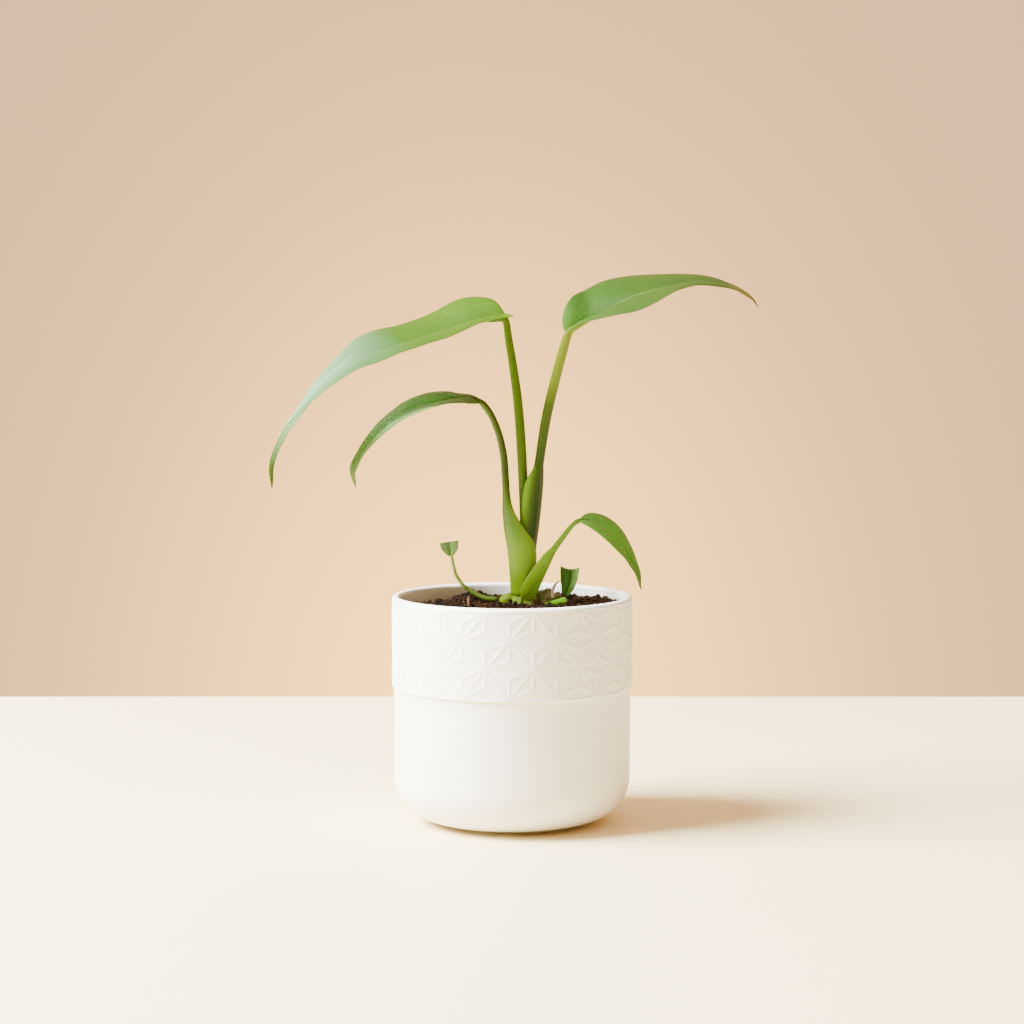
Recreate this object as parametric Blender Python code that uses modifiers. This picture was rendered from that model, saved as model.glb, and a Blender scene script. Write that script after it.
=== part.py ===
"""A young monstera in a round white planter with an embossed band. Design values are in millimetres.

The planter stands on the XY plane with its axis on Z. Heights in the plant's tables are measured up
from the level of the soil at the planter's wall, and their X and Y from the planter's axis.
"""

import math
from collections import namedtuple

import bmesh
import bpy
import numpy as np

MM = 0.001
CLEARANCE = 0.3
SHEATH_CLEARANCE = 0.5

# Planter
POT_HEIGHT = 123.2
RIM_RADIUS = 65.0
WALL = 4.2
FLOOR = 5.0
BAND_HEIGHT = 48.5
BAND_STEP = 0.9
HEEL_RADIUS = 25.0
TURN_STEPS = 64
ARC_STEPS = 6

# Soil
SOIL_DROP = 7.2
SOIL_CROWN = 2.6
SOIL_RINGS = 6
MOUNDS = ((-23.0, 23.0, 5.2, 7.0), (25.0, 20.0, 1.0, 9.0), (-4.0, 26.0, 0.8, 8.0))

# Shoot: the petioles are wrapped round one axis, each in the sheath of the next older leaf
SHOOT_X = 7.0
SHOOT_Y = 2.0
SHOOT_FOOT = 7.2
SHOOT_FULL = 29.0
FOOT_TAPER = 0.8
SECTION_POINTS = 16
SECTIONS_PER_ROW = 2

# Blades
BLADE_THICKNESS = 0.8
BLADE_ROWS = 20
BLADE_COLUMNS = 4
BLADE_ARCH = 0.07

Finish = namedtuple("Finish", "name colour roughness")
GLAZE = Finish("glazed_ceramic", (0.86, 0.85, 0.82), 0.35)
EARTH = Finish("soil", (0.05, 0.03, 0.02), 0.95)
BLADE = Finish("leaf_green", (0.10, 0.25, 0.05), 0.4)
STALK = Finish("stalk_green", (0.30, 0.38, 0.10), 0.45)
CORM = Finish("corm", (0.28, 0.26, 0.10), 0.7)
HUSK = Finish("dry_husk", (0.62, 0.50, 0.36), 0.8)

# A stalk's row: its centre, half its thickness, half its width round the shoot, and the wrap radius.
# The first two rows of each stalk are worked out from its layer, half thickness and wing.
Stalk = namedtuple("Stalk", "name layer facing half_thickness wing rows")
STALKS = (
    Stalk(
        "petiole_tall_left", 0, 180.0, 2.3, 2.3,
        (
            (6.4, 2.4, 62.0, 2.4, 2.4, 40.0),
            (5.4, 3.0, 88.0, 2.3, 2.3, 40.0),
            (3.5, 4.2, 112.0, 2.1, 2.1, 40.0),
            (0.8, 5.8, 132.0, 1.9, 1.9, 40.0),
            (-1.6, 7.2, 146.0, 1.8, 1.8, 40.0),
            (-3.0, 8.0, 156.0, 1.7, 1.7, 40.0),
        ),
    ),
    Stalk(
        "petiole_tall_right", 1, -40.0, 1.6, 7.6,
        (
            (11.3, -0.6, 45.0, 1.7, 7.0, 4.6),
            (12.4, -0.6, 58.0, 1.9, 5.4, 5.2),
            (13.2, -0.7, 68.0, 2.2, 3.2, 8.0),
            (14.4, -1.0, 79.0, 2.3, 2.3, 40.0),
            (18.6, -2.0, 102.0, 2.3, 2.3, 40.0),
            (22.9, -3.0, 121.0, 2.3, 2.3, 40.0),
            (27.1, -4.0, 137.0, 2.2, 2.2, 40.0),
            (29.7, -4.9, 148.0, 2.0, 2.0, 40.0),
        ),
    ),
    Stalk(
        "petiole_low_left", 2, 210.0, 1.4, 15.5,
        (
            (-1.0, -2.0, 41.0, 1.5, 11.0, 9.0),
            (-2.0, -2.0, 52.0, 1.6, 5.5, 12.0),
            (-2.7, -2.0, 61.0, 1.6, 2.4, 20.0),
            (-3.5, -2.0, 71.0, 1.6, 1.6, 40.0),
            (-4.7, -2.3, 83.0, 1.6, 1.6, 40.0),
            (-7.2, -3.0, 94.0, 1.6, 1.6, 40.0),
            (-10.9, -3.5, 103.5, 1.5, 1.5, 40.0),
            (-15.3, -4.0, 110.5, 1.4, 1.4, 40.0),
        ),
    ),
    Stalk(
        "petiole_small_right", 3, -75.0, 1.0, 5.0,
        (
            (17.4, -8.4, 27.0, 1.3, 2.4, 12.0),
            (21.5, -9.0, 32.5, 1.35, 1.5, 40.0),
            (26.6, -9.8, 38.8, 1.35, 1.35, 40.0),
            (31.4, -10.5, 44.8, 1.3, 1.3, 40.0),
            (35.0, -11.0, 48.2, 1.2, 1.2, 40.0),
        ),
    ),
)

# A blade's row: a point of its midrib, its half width, and the pitch of the half on the far side and
# of the half on the near side, in degrees above the blade's own plane. Across points to the far side,
# and turn is 1 where the upper face is on the left of the run from base to tip, seen from the near side.
Leaf = namedtuple("Leaf", "name across turn rows")
LEAVES = (
    Leaf(
        "blade_tall_left", (0, 1, 0), 1,
        (
            (-3.0, 8.0, 157.0, 4.0, 55.0, -4.0),
            (-12.0, 8.0, 156.5, 17.0, 42.0, -4.0),
            (-23.0, 7.0, 154.0, 26.0, 32.0, -3.0),
            (-37.0, 5.0, 149.0, 32.0, 18.0, -3.0),
            (-53.0, 2.0, 144.0, 34.0, 15.5, -2.5),
            (-69.0, -2.0, 139.0, 34.0, 15.0, -1.5),
            (-85.0, -6.0, 133.0, 31.0, 7.0, -4.0),
            (-100.0, -10.0, 121.0, 26.0, 5.5, -0.5),
            (-112.0, -13.0, 107.0, 20.0, 5.0, 6.0),
            (-121.0, -16.0, 94.0, 13.0, 8.5, 10.0),
            (-127.0, -18.0, 79.5, 6.0, 4.0, 25.0),
            (-127.0, -20.0, 66.5, 0.5, 0.0, 30.0),
        ),
    ),
    Leaf(
        "blade_tall_right", (0, 1, 0), -1,
        (
            (30.0, -5.0, 149.2, 4.0, 75.0, 2.0),
            (36.0, -5.0, 153.5, 13.0, 75.0, 2.0),
            (44.0, -6.0, 157.7, 20.0, 50.0, -4.5),
            (54.0, -7.0, 162.7, 25.0, 37.0, -11.0),
            (65.0, -8.0, 167.8, 28.0, 27.0, -16.5),
            (76.0, -9.0, 171.2, 28.0, 19.0, -15.0),
            (88.0, -10.0, 173.6, 26.0, 15.0, -5.0),
            (99.0, -11.0, 174.9, 22.0, 13.0, -2.5),
            (110.0, -13.0, 174.1, 16.0, 11.0, -4.0),
            (120.0, -14.0, 171.7, 10.0, 7.0, -4.0),
            (127.0, -15.0, 167.7, 5.0, 2.0, -8.0),
            (131.0, -16.0, 161.7, 0.5, 0.0, -5.0),
        ),
    ),
    Leaf(
        "blade_low_left", (0, 1, 0), 1,
        (
            (-16.0, -4.0, 111.6, 2.5, 20.0, -30.0),
            (-23.0, -4.0, 114.3, 9.0, 6.0, -22.5),
            (-31.0, -5.0, 113.0, 14.5, 17.5, -7.5),
            (-39.0, -6.0, 110.9, 18.0, 20.5, -1.5),
            (-48.0, -7.0, 108.0, 19.0, 19.5, 1.5),
            (-57.0, -9.0, 104.1, 18.0, 17.0, 2.0),
            (-65.0, -10.0, 98.8, 16.0, 14.5, 4.0),
            (-73.0, -12.0, 91.7, 12.0, 13.5, 5.0),
            (-80.0, -13.0, 83.7, 8.5, 15.5, 2.0),
            (-83.5, -14.0, 75.7, 5.0, 16.0, 5.5),
            (-83.0, -15.0, 66.7, 0.5, 0.0, 5.5),
        ),
    ),
    Leaf(
        "blade_small_right", (0, 1, 0), -1,
        (
            (36.0, -11.0, 48.9, 1.8, 40.0, -30.0),
            (41.0, -12.0, 48.8, 6.5, 35.0, -21.5),
            (46.0, -13.0, 46.7, 9.5, 30.0, -17.5),
            (52.0, -14.0, 42.5, 10.5, 24.5, -16.0),
            (57.0, -15.0, 37.2, 10.0, 26.5, -16.5),
            (61.0, -15.0, 30.8, 8.0, 25.5, -10.0),
            (64.0, -16.0, 25.0, 5.0, 29.5, -7.0),
            (67.0, -16.0, 18.5, 2.5, 33.5, 1.0),
            (69.0, -17.0, 11.9, 0.4, 0.0, 0.0),
        ),
    ),
    Leaf(
        "cut_blade_left", (1, 0, 0), 1,
        (
            (-33.4, 16.0, 26.6, 1.2, 20.0, 20.0),
            (-33.8, 16.0, 30.0, 4.4, 20.0, 20.0),
            (-34.5, 16.0, 34.6, 5.6, 15.0, 15.0),
        ),
    ),
    Leaf(
        "cut_blade_right", (1, 0, 0), 1,
        (
            (29.0, -4.0, 7.4, 2.4, 30.0, 30.0),
            (30.6, -4.0, 13.4, 4.6, 25.0, 25.0),
            (31.3, -4.0, 19.0, 5.4, 20.0, 20.0),
            (31.4, -4.0, 23.2, 5.3, 15.0, 15.0),
        ),
    ),
)

# Round stalks laid on the soil or standing on it: a radius and the points of its middle line
Twig = namedtuple("Twig", "name finish radius points")
TWIGS = (
    Twig(
        "runner_left", STALK, 1.1,
        (
            (-7.6, 3.6, 4.2),
            (-15.0, 8.0, 4.6),
            (-22.0, 13.0, 7.4),
            (-26.0, 15.0, 10.0),
            (-29.0, 16.0, 13.6),
            (-31.4, 16.0, 18.4),
            (-33.3, 16.0, 25.5),
        ),
    ),
    Twig("runner_right", STALK, 1.7, ((17.4, -4.4, 2.0), (23.0, -4.8, 3.2), (29.4, -4.4, 4.7))),
    Twig("dry_husk", HUSK, 0.8, ((22.0, -2.4, 5.6), (22.0, -2.2, 9.8), (23.2, -2.0, 12.6), (25.6, -2.0, 15.2))),
    Twig("surface_root", HUSK, 0.6, ((-23.5, 8.0, 5.2), (-23.6, 2.0, 4.6), (-23.6, -4.0, 3.2), (-23.4, -9.0, 1.0))),
)

# Crown: a stub under the shoot and knobs on it, each a centre and three radii
CROWN_DEPTH = 16.0
CROWN_FOOT_RADIUS = 5.0
CROWN_TOP_RADIUS = 8.6
KNOBS = (
    ((-2.2, 1.8, 2.4), (5.0, 4.6, 3.3)),
    ((19.0, 3.4, 2.4), (7.0, 5.6, 5.4)),
    ((26.5, 3.0, 0.6), (4.8, 4.4, 4.2)),
)
KNOB_SEGMENTS = 16
KNOB_RINGS = 10


def soil_level():
    return POT_HEIGHT - SOIL_DROP


def arc(centre, radius, start, end, steps=ARC_STEPS):
    """Points of an arc from the start angle to the end angle, in degrees, both included."""
    angles = np.radians(np.linspace(start, end, steps + 1))
    return [(centre[0] + radius * math.cos(a), centre[1] + radius * math.sin(a)) for a in angles]


def cavity_profile(gap):
    """The planter's inside from the middle of its floor to the start of its lip, held a gap inwards."""
    radius = RIM_RADIUS - WALL
    corner = HEEL_RADIUS - WALL
    middle = (radius - corner, FLOOR + corner)
    return [(0.0, FLOOR + gap)] + arc(middle, corner - gap, -90.0, 0.0)


def pot_profile():
    """The planter's section, from the middle of its floor over the lip and down its outer side."""
    lip = WALL / 2
    body = RIM_RADIUS - BAND_STEP
    heel_middle = (body - HEEL_RADIUS, HEEL_RADIUS)
    profile = cavity_profile(0.0)
    profile += arc((RIM_RADIUS - lip, POT_HEIGHT - lip), lip, 180.0, 0.0)
    band_bottom = POT_HEIGHT - BAND_HEIGHT
    profile += [(RIM_RADIUS, band_bottom), (body, band_bottom - BAND_STEP)]
    profile += arc(heel_middle, HEEL_RADIUS, 0.0, -90.0)
    return profile + [(0.0, 0.0)]


def soil_rise(x, y):
    """Height of the soil above its level at the wall."""
    reach = RIM_RADIUS - WALL - CLEARANCE
    rise = SOIL_CROWN * (1 - (x * x + y * y) / reach**2)
    for mound_x, mound_y, height, spread in MOUNDS:
        away = (x - mound_x) ** 2 + (y - mound_y) ** 2
        rise += height * math.exp(-away / (2 * spread**2))
    return rise


def soil_profile():
    """The soil's section, from the middle of its top out to the wall and down to the floor."""
    side = cavity_profile(CLEARANCE)[::-1]
    reach = side[0][0]
    top = [(reach * i / SOIL_RINGS, soil_level()) for i in range(SOIL_RINGS + 1)]
    return top + side


def smooth_rows(rows, count):
    """A Catmull-Rom curve through the rows, read at evenly spaced places along their numbering."""
    rows = np.asarray(rows, float)
    ends = 2 * rows[[0, -1]] - rows[[1, -2]]
    held = np.vstack([ends[:1], rows, ends[1:]])
    places = np.linspace(0, len(rows) - 1, count)
    first = np.minimum(places.astype(int), len(rows) - 2)
    t = (places - first)[:, None]
    a, b, c, d = (held[first + i] for i in range(4))
    return b + 0.5 * t * (c - a + t * (2 * a - 5 * b + 4 * c - d + t * (3 * (b - c) + d - a)))


def unit(vectors):
    return vectors / np.linalg.norm(vectors, axis=-1, keepdims=True)


def square_to(vectors, runs):
    """The vectors with their share along the runs taken out, made unit length."""
    return unit(vectors - (vectors * runs).sum(axis=1, keepdims=True) * runs)


def on_soil(points):
    """Plant points in millimetres above the soil's level, as metres above the ground."""
    return (np.asarray(points, float) + (0.0, 0.0, soil_level())) * MM


def wrap_radii(taper):
    """The middle radius of each layer of the shoot, from the innermost stalk, which is solid, outwards."""
    radii = [0.0]
    outside = STALKS[0].half_thickness * taper
    for stalk in STALKS[1:]:
        half = stalk.half_thickness * taper
        radii.append(outside + SHEATH_CLEARANCE + half)
        outside += SHEATH_CLEARANCE + 2 * half
    return radii


def wrapped_row(stalk, height, taper):
    """A stalk's row low on the shoot, where it lies in its own layer round the shoot's axis."""
    radius = wrap_radii(taper)[stalk.layer]
    angle = math.radians(stalk.facing)
    centre = (SHOOT_X + radius * math.cos(angle), SHOOT_Y + radius * math.sin(angle), height)
    sizes = (stalk.half_thickness * taper, stalk.wing * taper, max(radius, stalk.half_thickness * 10))
    return centre + (sizes if stalk.layer == 0 else sizes[:2] + (radius,))


def stalk_sections(stalk):
    """Sections of a stalk: an ellipse bent round the shoot's axis, which opens into a round rod above."""
    top = SHOOT_FOOT + 4.0 if stalk.layer == len(STALKS) - 1 else SHOOT_FULL
    rows = [wrapped_row(stalk, SHOOT_FOOT, FOOT_TAPER), wrapped_row(stalk, top, 1.0)] + list(stalk.rows)
    table = smooth_rows(rows, SECTIONS_PER_ROW * (len(rows) - 1) + 1)
    centres, halves, wings, wraps = table[:, :3], table[:, 3], table[:, 4], table[:, 5]
    runs = unit(np.gradient(centres, axis=0))
    runs[0] = (0.0, 0.0, 1.0)
    angle = math.radians(stalk.facing)
    out = square_to(np.tile((math.cos(angle), math.sin(angle), 0.0), (len(table), 1)), runs)
    side = np.cross(runs, out)
    turn = np.linspace(0, 2 * math.pi, SECTION_POINTS, endpoint=False)
    bend = wings[:, None] * np.cos(turn) / wraps[:, None]
    reach = wraps[:, None] + halves[:, None] * np.sin(turn)
    across = reach * np.sin(bend)
    depth = reach * np.cos(bend) - wraps[:, None]
    points = centres[:, None] + depth[..., None] * out[:, None] + across[..., None] * side[:, None]
    return on_soil(points)


def blade_surface(leaf):
    """A blade's surface: two arched halves that meet along the midrib, each at its own pitch."""
    count = BLADE_ROWS if len(leaf.rows) > 4 else 2 * len(leaf.rows)
    table = smooth_rows(leaf.rows, count)
    ribs, widths, pitches = table[:, :3], table[:, 3], np.radians(table[:, 4:6])
    runs = unit(np.gradient(ribs, axis=0))
    far = square_to(np.tile(np.array(leaf.across, float), (count, 1)), runs)
    up = leaf.turn * np.cross(far, runs)
    columns = []
    for sign, pitch in ((1, pitches[:, 0]), (-1, pitches[:, 1])):
        flat = sign * np.cos(pitch)[:, None] * far + np.sin(pitch)[:, None] * up
        crest = np.cos(pitch)[:, None] * up - sign * np.sin(pitch)[:, None] * far
        for share in np.linspace(0, 1, BLADE_COLUMNS + 1)[1:]:
            arch = BLADE_ARCH * 4 * share * (1 - share)
            columns.append(ribs + widths[:, None] * (share * flat + arch * crest))
    grid = columns[:BLADE_COLUMNS][::-1] + [ribs] + columns[BLADE_COLUMNS:]
    return on_soil(np.stack(grid, axis=1))


def new_collection(name):
    collection = bpy.data.collections.new(name)
    bpy.context.scene.collection.children.link(collection)
    return collection


def new_material(finish):
    material = bpy.data.materials.get(finish.name) or bpy.data.materials.new(finish.name)
    material.use_nodes = True
    shader = material.node_tree.nodes["Principled BSDF"]
    shader.inputs["Base Color"].default_value = finish.colour + (1.0,)
    shader.inputs["Roughness"].default_value = finish.roughness
    shader.inputs["Metallic"].default_value = 0.0
    material.diffuse_color = finish.colour + (1.0,)
    return material


def new_object(name, data, collection, finish=None):
    obj = bpy.data.objects.new(name, data)
    collection.objects.link(obj)
    if finish:
        data.materials.append(new_material(finish))
    return obj


def evaluated_mesh(obj):
    """The object's mesh with its modifiers applied and its loose caps welded on."""
    bpy.context.view_layer.update()
    graph = bpy.context.evaluated_depsgraph_get()
    mesh = bpy.data.meshes.new_from_object(obj.evaluated_get(graph))
    shape = bmesh.new()
    shape.from_mesh(mesh)
    bmesh.ops.remove_doubles(shape, verts=shape.verts, dist=1e-6)
    bmesh.ops.recalc_face_normals(shape, faces=shape.faces)
    shape.to_mesh(mesh)
    shape.free()
    return mesh


def applied(obj, collection, finish):
    """A plain mesh object of the same name in place of one with modifiers or of a curve."""
    name = obj.name
    mesh = evaluated_mesh(obj)
    mesh.materials.clear()
    bpy.data.objects.remove(obj)
    return new_object(name, mesh, collection, finish)


def turned(name, profile, collection, finish):
    """A solid of revolution on Z from a profile in millimetres."""
    mesh = bpy.data.meshes.new(name)
    points = [(r * MM, 0.0, z * MM) for r, z in profile]
    mesh.from_pydata(points, [(i, i + 1) for i in range(len(points) - 1)], [])
    obj = new_object(name, mesh, collection, finish)
    screw = obj.modifiers.new("turn", "SCREW")
    screw.steps = screw.render_steps = TURN_STEPS
    screw.use_merge_vertices = True
    screw.merge_threshold = 1e-5
    return obj


def build_pot(collection):
    obj = turned("pot", pot_profile(), collection, GLAZE)
    obj.modifiers["turn"].use_smooth_shade = True
    return obj


def build_soil(collection, cutters):
    obj = applied(turned("soil", soil_profile(), collection, None), collection, EARTH)
    for vertex in obj.data.vertices:
        x, y, z = (value / MM for value in vertex.co)
        if z > soil_level() - CLEARANCE:
            vertex.co.z = (soil_level() + soil_rise(x, y)) * MM
    cut = obj.modifiers.new("sockets", "BOOLEAN")
    cut.operand_type = "COLLECTION"
    cut.collection = cutters
    return obj


def build_stalk(stalk, collection):
    """A stalk skinned over its sections, with a flat cap at each end."""
    sections = stalk_sections(stalk)
    rows, points = sections.shape[:2]
    mesh = bpy.data.meshes.new(stalk.name)
    sides = [
        (i * points + j, i * points + (j + 1) % points, (i + 1) * points + (j + 1) % points, (i + 1) * points + j)
        for i in range(rows - 1)
        for j in range(points)
    ]
    last = (rows - 1) * points
    caps = [tuple(range(points))[::-1], tuple(range(last, last + points))]
    mesh.from_pydata(sections.reshape(-1, 3).tolist(), [], sides + caps)
    mesh.shade_smooth()
    obj = new_object(stalk.name, mesh, collection, STALK)
    obj.data = evaluated_mesh(obj)
    return obj


def build_blade(leaf, collection):
    """A blade's surface given its thickness."""
    surface = blade_surface(leaf)
    rows, columns = surface.shape[:2]
    mesh = bpy.data.meshes.new(leaf.name)
    faces = [
        (i * columns + j, i * columns + j + 1, (i + 1) * columns + j + 1, (i + 1) * columns + j)
        for i in range(rows - 1)
        for j in range(columns - 1)
    ]
    mesh.from_pydata(surface.reshape(-1, 3).tolist(), [], faces)
    mesh.shade_smooth()
    obj = new_object(leaf.name, mesh, collection, BLADE)
    shell = obj.modifiers.new("thickness", "SOLIDIFY")
    shell.thickness = BLADE_THICKNESS * MM
    shell.offset = 0.0
    return obj


def build_twig(twig, collection):
    """A round rod along a smooth curve through its points."""
    curve = bpy.data.curves.new(twig.name, "CURVE")
    curve.dimensions = "3D"
    curve.bevel_depth = twig.radius * MM
    curve.bevel_resolution = 2
    curve.use_fill_caps = True
    line = smooth_rows(on_soil(twig.points), 3 * len(twig.points))
    spline = curve.splines.new("POLY")
    spline.points.add(len(line) - 1)
    for point, place in zip(spline.points, line):
        point.co = (*place, 1.0)
    return applied(new_object(twig.name, curve, collection), collection, twig.finish)


def placed(shape, name, centre, collection):
    """A new object of a bmesh shape, moved to a point given above the soil's level."""
    mesh = bpy.data.meshes.new(name)
    bmesh.ops.translate(shape, verts=shape.verts, vec=on_soil(centre))
    shape.to_mesh(mesh)
    shape.free()
    return new_object(name, mesh, collection)


def add_stub(name, grow, collection):
    """The tapered stub under the shoot, grown outwards by a margin."""
    shape = bmesh.new()
    bmesh.ops.create_cone(
        shape, cap_ends=True, segments=24, depth=(CROWN_DEPTH + 2 * grow) * MM,
        radius1=(CROWN_FOOT_RADIUS + grow) * MM, radius2=(CROWN_TOP_RADIUS + grow) * MM,
    )
    centre = (SHOOT_X, SHOOT_Y, SHOOT_FOOT - CLEARANCE - CROWN_DEPTH / 2)
    return placed(shape, name, centre, collection)


def add_knob(name, knob, grow, collection):
    """An ellipsoid knob, grown outwards by a margin."""
    centre, radii = knob
    shape = bmesh.new()
    bmesh.ops.create_uvsphere(shape, u_segments=KNOB_SEGMENTS, v_segments=KNOB_RINGS, radius=1.0)
    bmesh.ops.scale(shape, verts=shape.verts, vec=[(r + grow) * MM for r in radii])
    return placed(shape, name, centre, collection)


def build_crown(collection, scratch, cutters):
    """The stub joined with its knobs, and the sockets that they fill in the soil."""
    obj = add_stub("crown", 0.0, collection)
    add_stub("stub_socket", CLEARANCE, cutters)
    for index, knob in enumerate(KNOBS):
        join = obj.modifiers.new(f"knob_{index}", "BOOLEAN")
        join.operation = "UNION"
        join.object = add_knob(f"knob_{index}", knob, 0.0, scratch)
        add_knob(f"knob_{index}_socket", knob, CLEARANCE, cutters)
    return applied(obj, collection, CORM)


def add_socket(obj, cutters):
    """A copy of a piece that lies on the soil, swollen by the clearance, which cuts its bed."""
    socket = new_object(f"{obj.name}_socket", evaluated_mesh(obj), cutters)
    swell = socket.modifiers.new("swell", "DISPLACE")
    swell.mid_level = 0.0
    swell.strength = CLEARANCE * MM
    return socket


def hide_helpers(collection):
    for obj in collection.objects:
        obj.hide_render = True
        obj.display_type = "WIRE"


def main():
    for obj in list(bpy.data.objects):
        bpy.data.objects.remove(obj)
    plant = new_collection("potted_monstera")
    scratch = new_collection("knobs")
    cutters = new_collection("cutters")
    build_pot(plant)
    build_crown(plant, scratch, cutters)
    for twig in TWIGS:
        add_socket(build_twig(twig, plant), cutters)
    build_soil(plant, cutters)
    for stalk in STALKS:
        build_stalk(stalk, plant)
    for leaf in LEAVES:
        build_blade(leaf, plant)
    hide_helpers(scratch)
    hide_helpers(cutters)


main()
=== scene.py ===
"""Looks of a young potted monstera: planter, soil, crown, stalks, blades and the studio round them.

Lengths in the design tables are in millimetres. Plant heights are measured up from the level of the
soil at the planter's wall, and plant X and Y from the planter's axis.
"""

from __future__ import annotations

import logging
import math
from dataclasses import dataclass, field
from enum import Enum
from typing import Sequence

import bmesh
import bpy
import numpy as np
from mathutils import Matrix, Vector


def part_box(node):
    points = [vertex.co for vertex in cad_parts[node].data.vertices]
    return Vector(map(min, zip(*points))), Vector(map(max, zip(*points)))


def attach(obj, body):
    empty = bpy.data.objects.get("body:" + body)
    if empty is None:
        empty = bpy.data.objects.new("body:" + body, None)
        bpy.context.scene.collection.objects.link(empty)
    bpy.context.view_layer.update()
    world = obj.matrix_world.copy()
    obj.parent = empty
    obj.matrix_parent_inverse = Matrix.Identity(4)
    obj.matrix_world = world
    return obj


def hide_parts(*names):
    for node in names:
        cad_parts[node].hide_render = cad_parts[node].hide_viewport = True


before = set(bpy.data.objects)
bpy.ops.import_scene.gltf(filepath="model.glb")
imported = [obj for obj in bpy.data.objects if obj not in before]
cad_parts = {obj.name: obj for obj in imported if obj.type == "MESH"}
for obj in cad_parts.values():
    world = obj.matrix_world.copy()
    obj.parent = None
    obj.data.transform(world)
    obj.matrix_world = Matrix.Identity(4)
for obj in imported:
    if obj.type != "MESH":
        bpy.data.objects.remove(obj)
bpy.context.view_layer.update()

LOG = logging.getLogger("potted_monstera")
MM = 0.001
SOIL_DROP = 7.2
VEIN_SLANT = 0.16
VEIN_BEND = 1.4

Colour = tuple[float, float, float]
Stops = tuple[tuple[float, Colour], ...]
Point = tuple[float, float]  # also a lowest and highest value, or a mean and its spread


class Slot(Enum):
    """The record's material slots."""

    PLANTER = "planter"
    SOIL = "soil"
    CROWN = "crown"
    STALK = "stalk"
    LEAF = "leaf"
    DRY = "dry_scale"


class Turn(Enum):
    """Which way a blade's upper face turns about its run, seen from the front."""

    LEFT = 1
    RIGHT = -1


# ---------------------------------------------------------------- shapes on grids


def soil_level() -> float:
    """Height of the soil at the wall in millimetres, a fixed drop under the planter's lip."""
    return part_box("pot")[1].z / MM - SOIL_DROP


def on_soil(points: np.ndarray) -> np.ndarray:
    """Plant points in millimetres above the soil, as metres above the ground."""
    return (np.asarray(points, float) + (0.0, 0.0, soil_level())) * MM


def smooth_rows(rows: Sequence, count: int) -> np.ndarray:
    """A Catmull-Rom curve through rows of numbers.

    Args:
        rows: The rows that the curve passes through.
        count: How many places to read it at, evenly spaced along the rows' numbering.

    Returns:
        An array of count rows. Between rows b and c with neighbours a and d it is the cubic
        b + t/2 (c - a + t (2a - 5b + 4c - d + t (3b - 3c + d - a))).
    """
    table = np.asarray(rows, float)
    ends = 2 * table[[0, -1]] - table[[1, -2]]
    held = np.vstack([ends[:1], table, ends[1:]])
    places = np.linspace(0, len(table) - 1, count)
    first = np.minimum(places.astype(int), len(table) - 2)
    t = (places - first)[:, None]
    a, b, c, d = (held[first + i] for i in range(4))
    return b + 0.5 * t * (c - a + t * (2 * a - 5 * b + 4 * c - d + t * (3 * (b - c) + d - a)))


def unit(vectors: np.ndarray) -> np.ndarray:
    """The vectors divided by their lengths."""
    return vectors / np.maximum(np.linalg.norm(vectors, axis=-1, keepdims=True), 1e-12)


def square_to(vectors: np.ndarray, runs: np.ndarray) -> np.ndarray:
    """The vectors less their share along the runs, made unit length."""
    return unit(vectors - (vectors * runs).sum(axis=-1, keepdims=True) * runs)


def turns(count: int) -> np.ndarray:
    """Angles in radians of a count of places evenly round a circle."""
    return np.linspace(0, 2 * math.pi, count, endpoint=False)


def turned(radius: np.ndarray, height: np.ndarray, angles: np.ndarray) -> np.ndarray:
    """Rings of points about Z.

    Args:
        radius: A column of radii, or a row of them for each ring.
        height: The same for the heights.
        angles: The angles round Z in radians.

    Returns:
        An array of rings, angles and coordinates: radius cos, radius sin and height.
    """
    radius, height, angles = np.broadcast_arrays(radius, height, angles)
    return np.stack([radius * np.cos(angles), radius * np.sin(angles), height], axis=-1)


def square_frame(line: np.ndarray, towards: Sequence[float]) -> tuple[np.ndarray, np.ndarray]:
    """Two unit directions square to a line and to each other, at each of its points.

    Args:
        line: The line's points, or lines of them.
        towards: A direction that the first one leans to as far as it can.

    Returns:
        The first direction, and the cross of the line's run with it.
    """
    runs = unit(np.gradient(line, axis=-2))
    side = square_to(np.broadcast_to(towards, line.shape), runs)
    return side, np.cross(runs, side)


def ramp(value: np.ndarray, low: float, high: float) -> np.ndarray:
    """Smooth step from 0 at low to 1 at high: 3t^2 - 2t^3."""
    t = np.clip((value - low) / (high - low), 0.0, 1.0)
    return t * t * (3 - 2 * t)


def value_noise(points: np.ndarray, cell: float, seed: int) -> np.ndarray:
    """Smooth noise in space.

    Args:
        points: An array whose last axis is X, Y and Z.
        cell: The size of one lump, in the points' units.
        seed: Which noise to give.

    Returns:
        Numbers from -1 to 1: a table of random values on a cubic lattice that repeats every 32
        cells, blended between the eight corners of each cell with the smooth step.
    """
    size = 32
    table = np.random.default_rng(seed).uniform(-1, 1, (size, size, size))
    scaled = np.asarray(points, float) / cell + 1000.0
    base = np.floor(scaled).astype(int)
    share = scaled - base
    share = share * share * (3 - 2 * share)
    total = np.zeros(scaled.shape[:-1])
    for corner in np.ndindex(2, 2, 2):
        weight = np.prod(np.where(np.array(corner) == 1, share, 1 - share), axis=-1)
        index = (base + corner) % size
        total += weight * table[index[..., 0], index[..., 1], index[..., 2]]
    return total


def layered_noise(points: np.ndarray, cell: float, seed: int, layers: int = 3) -> np.ndarray:
    """Value noise summed over layers, each half the size and half the height of the one before."""
    return sum(0.5**i * value_noise(points, cell * 0.5**i, seed + i) for i in range(layers))


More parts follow.
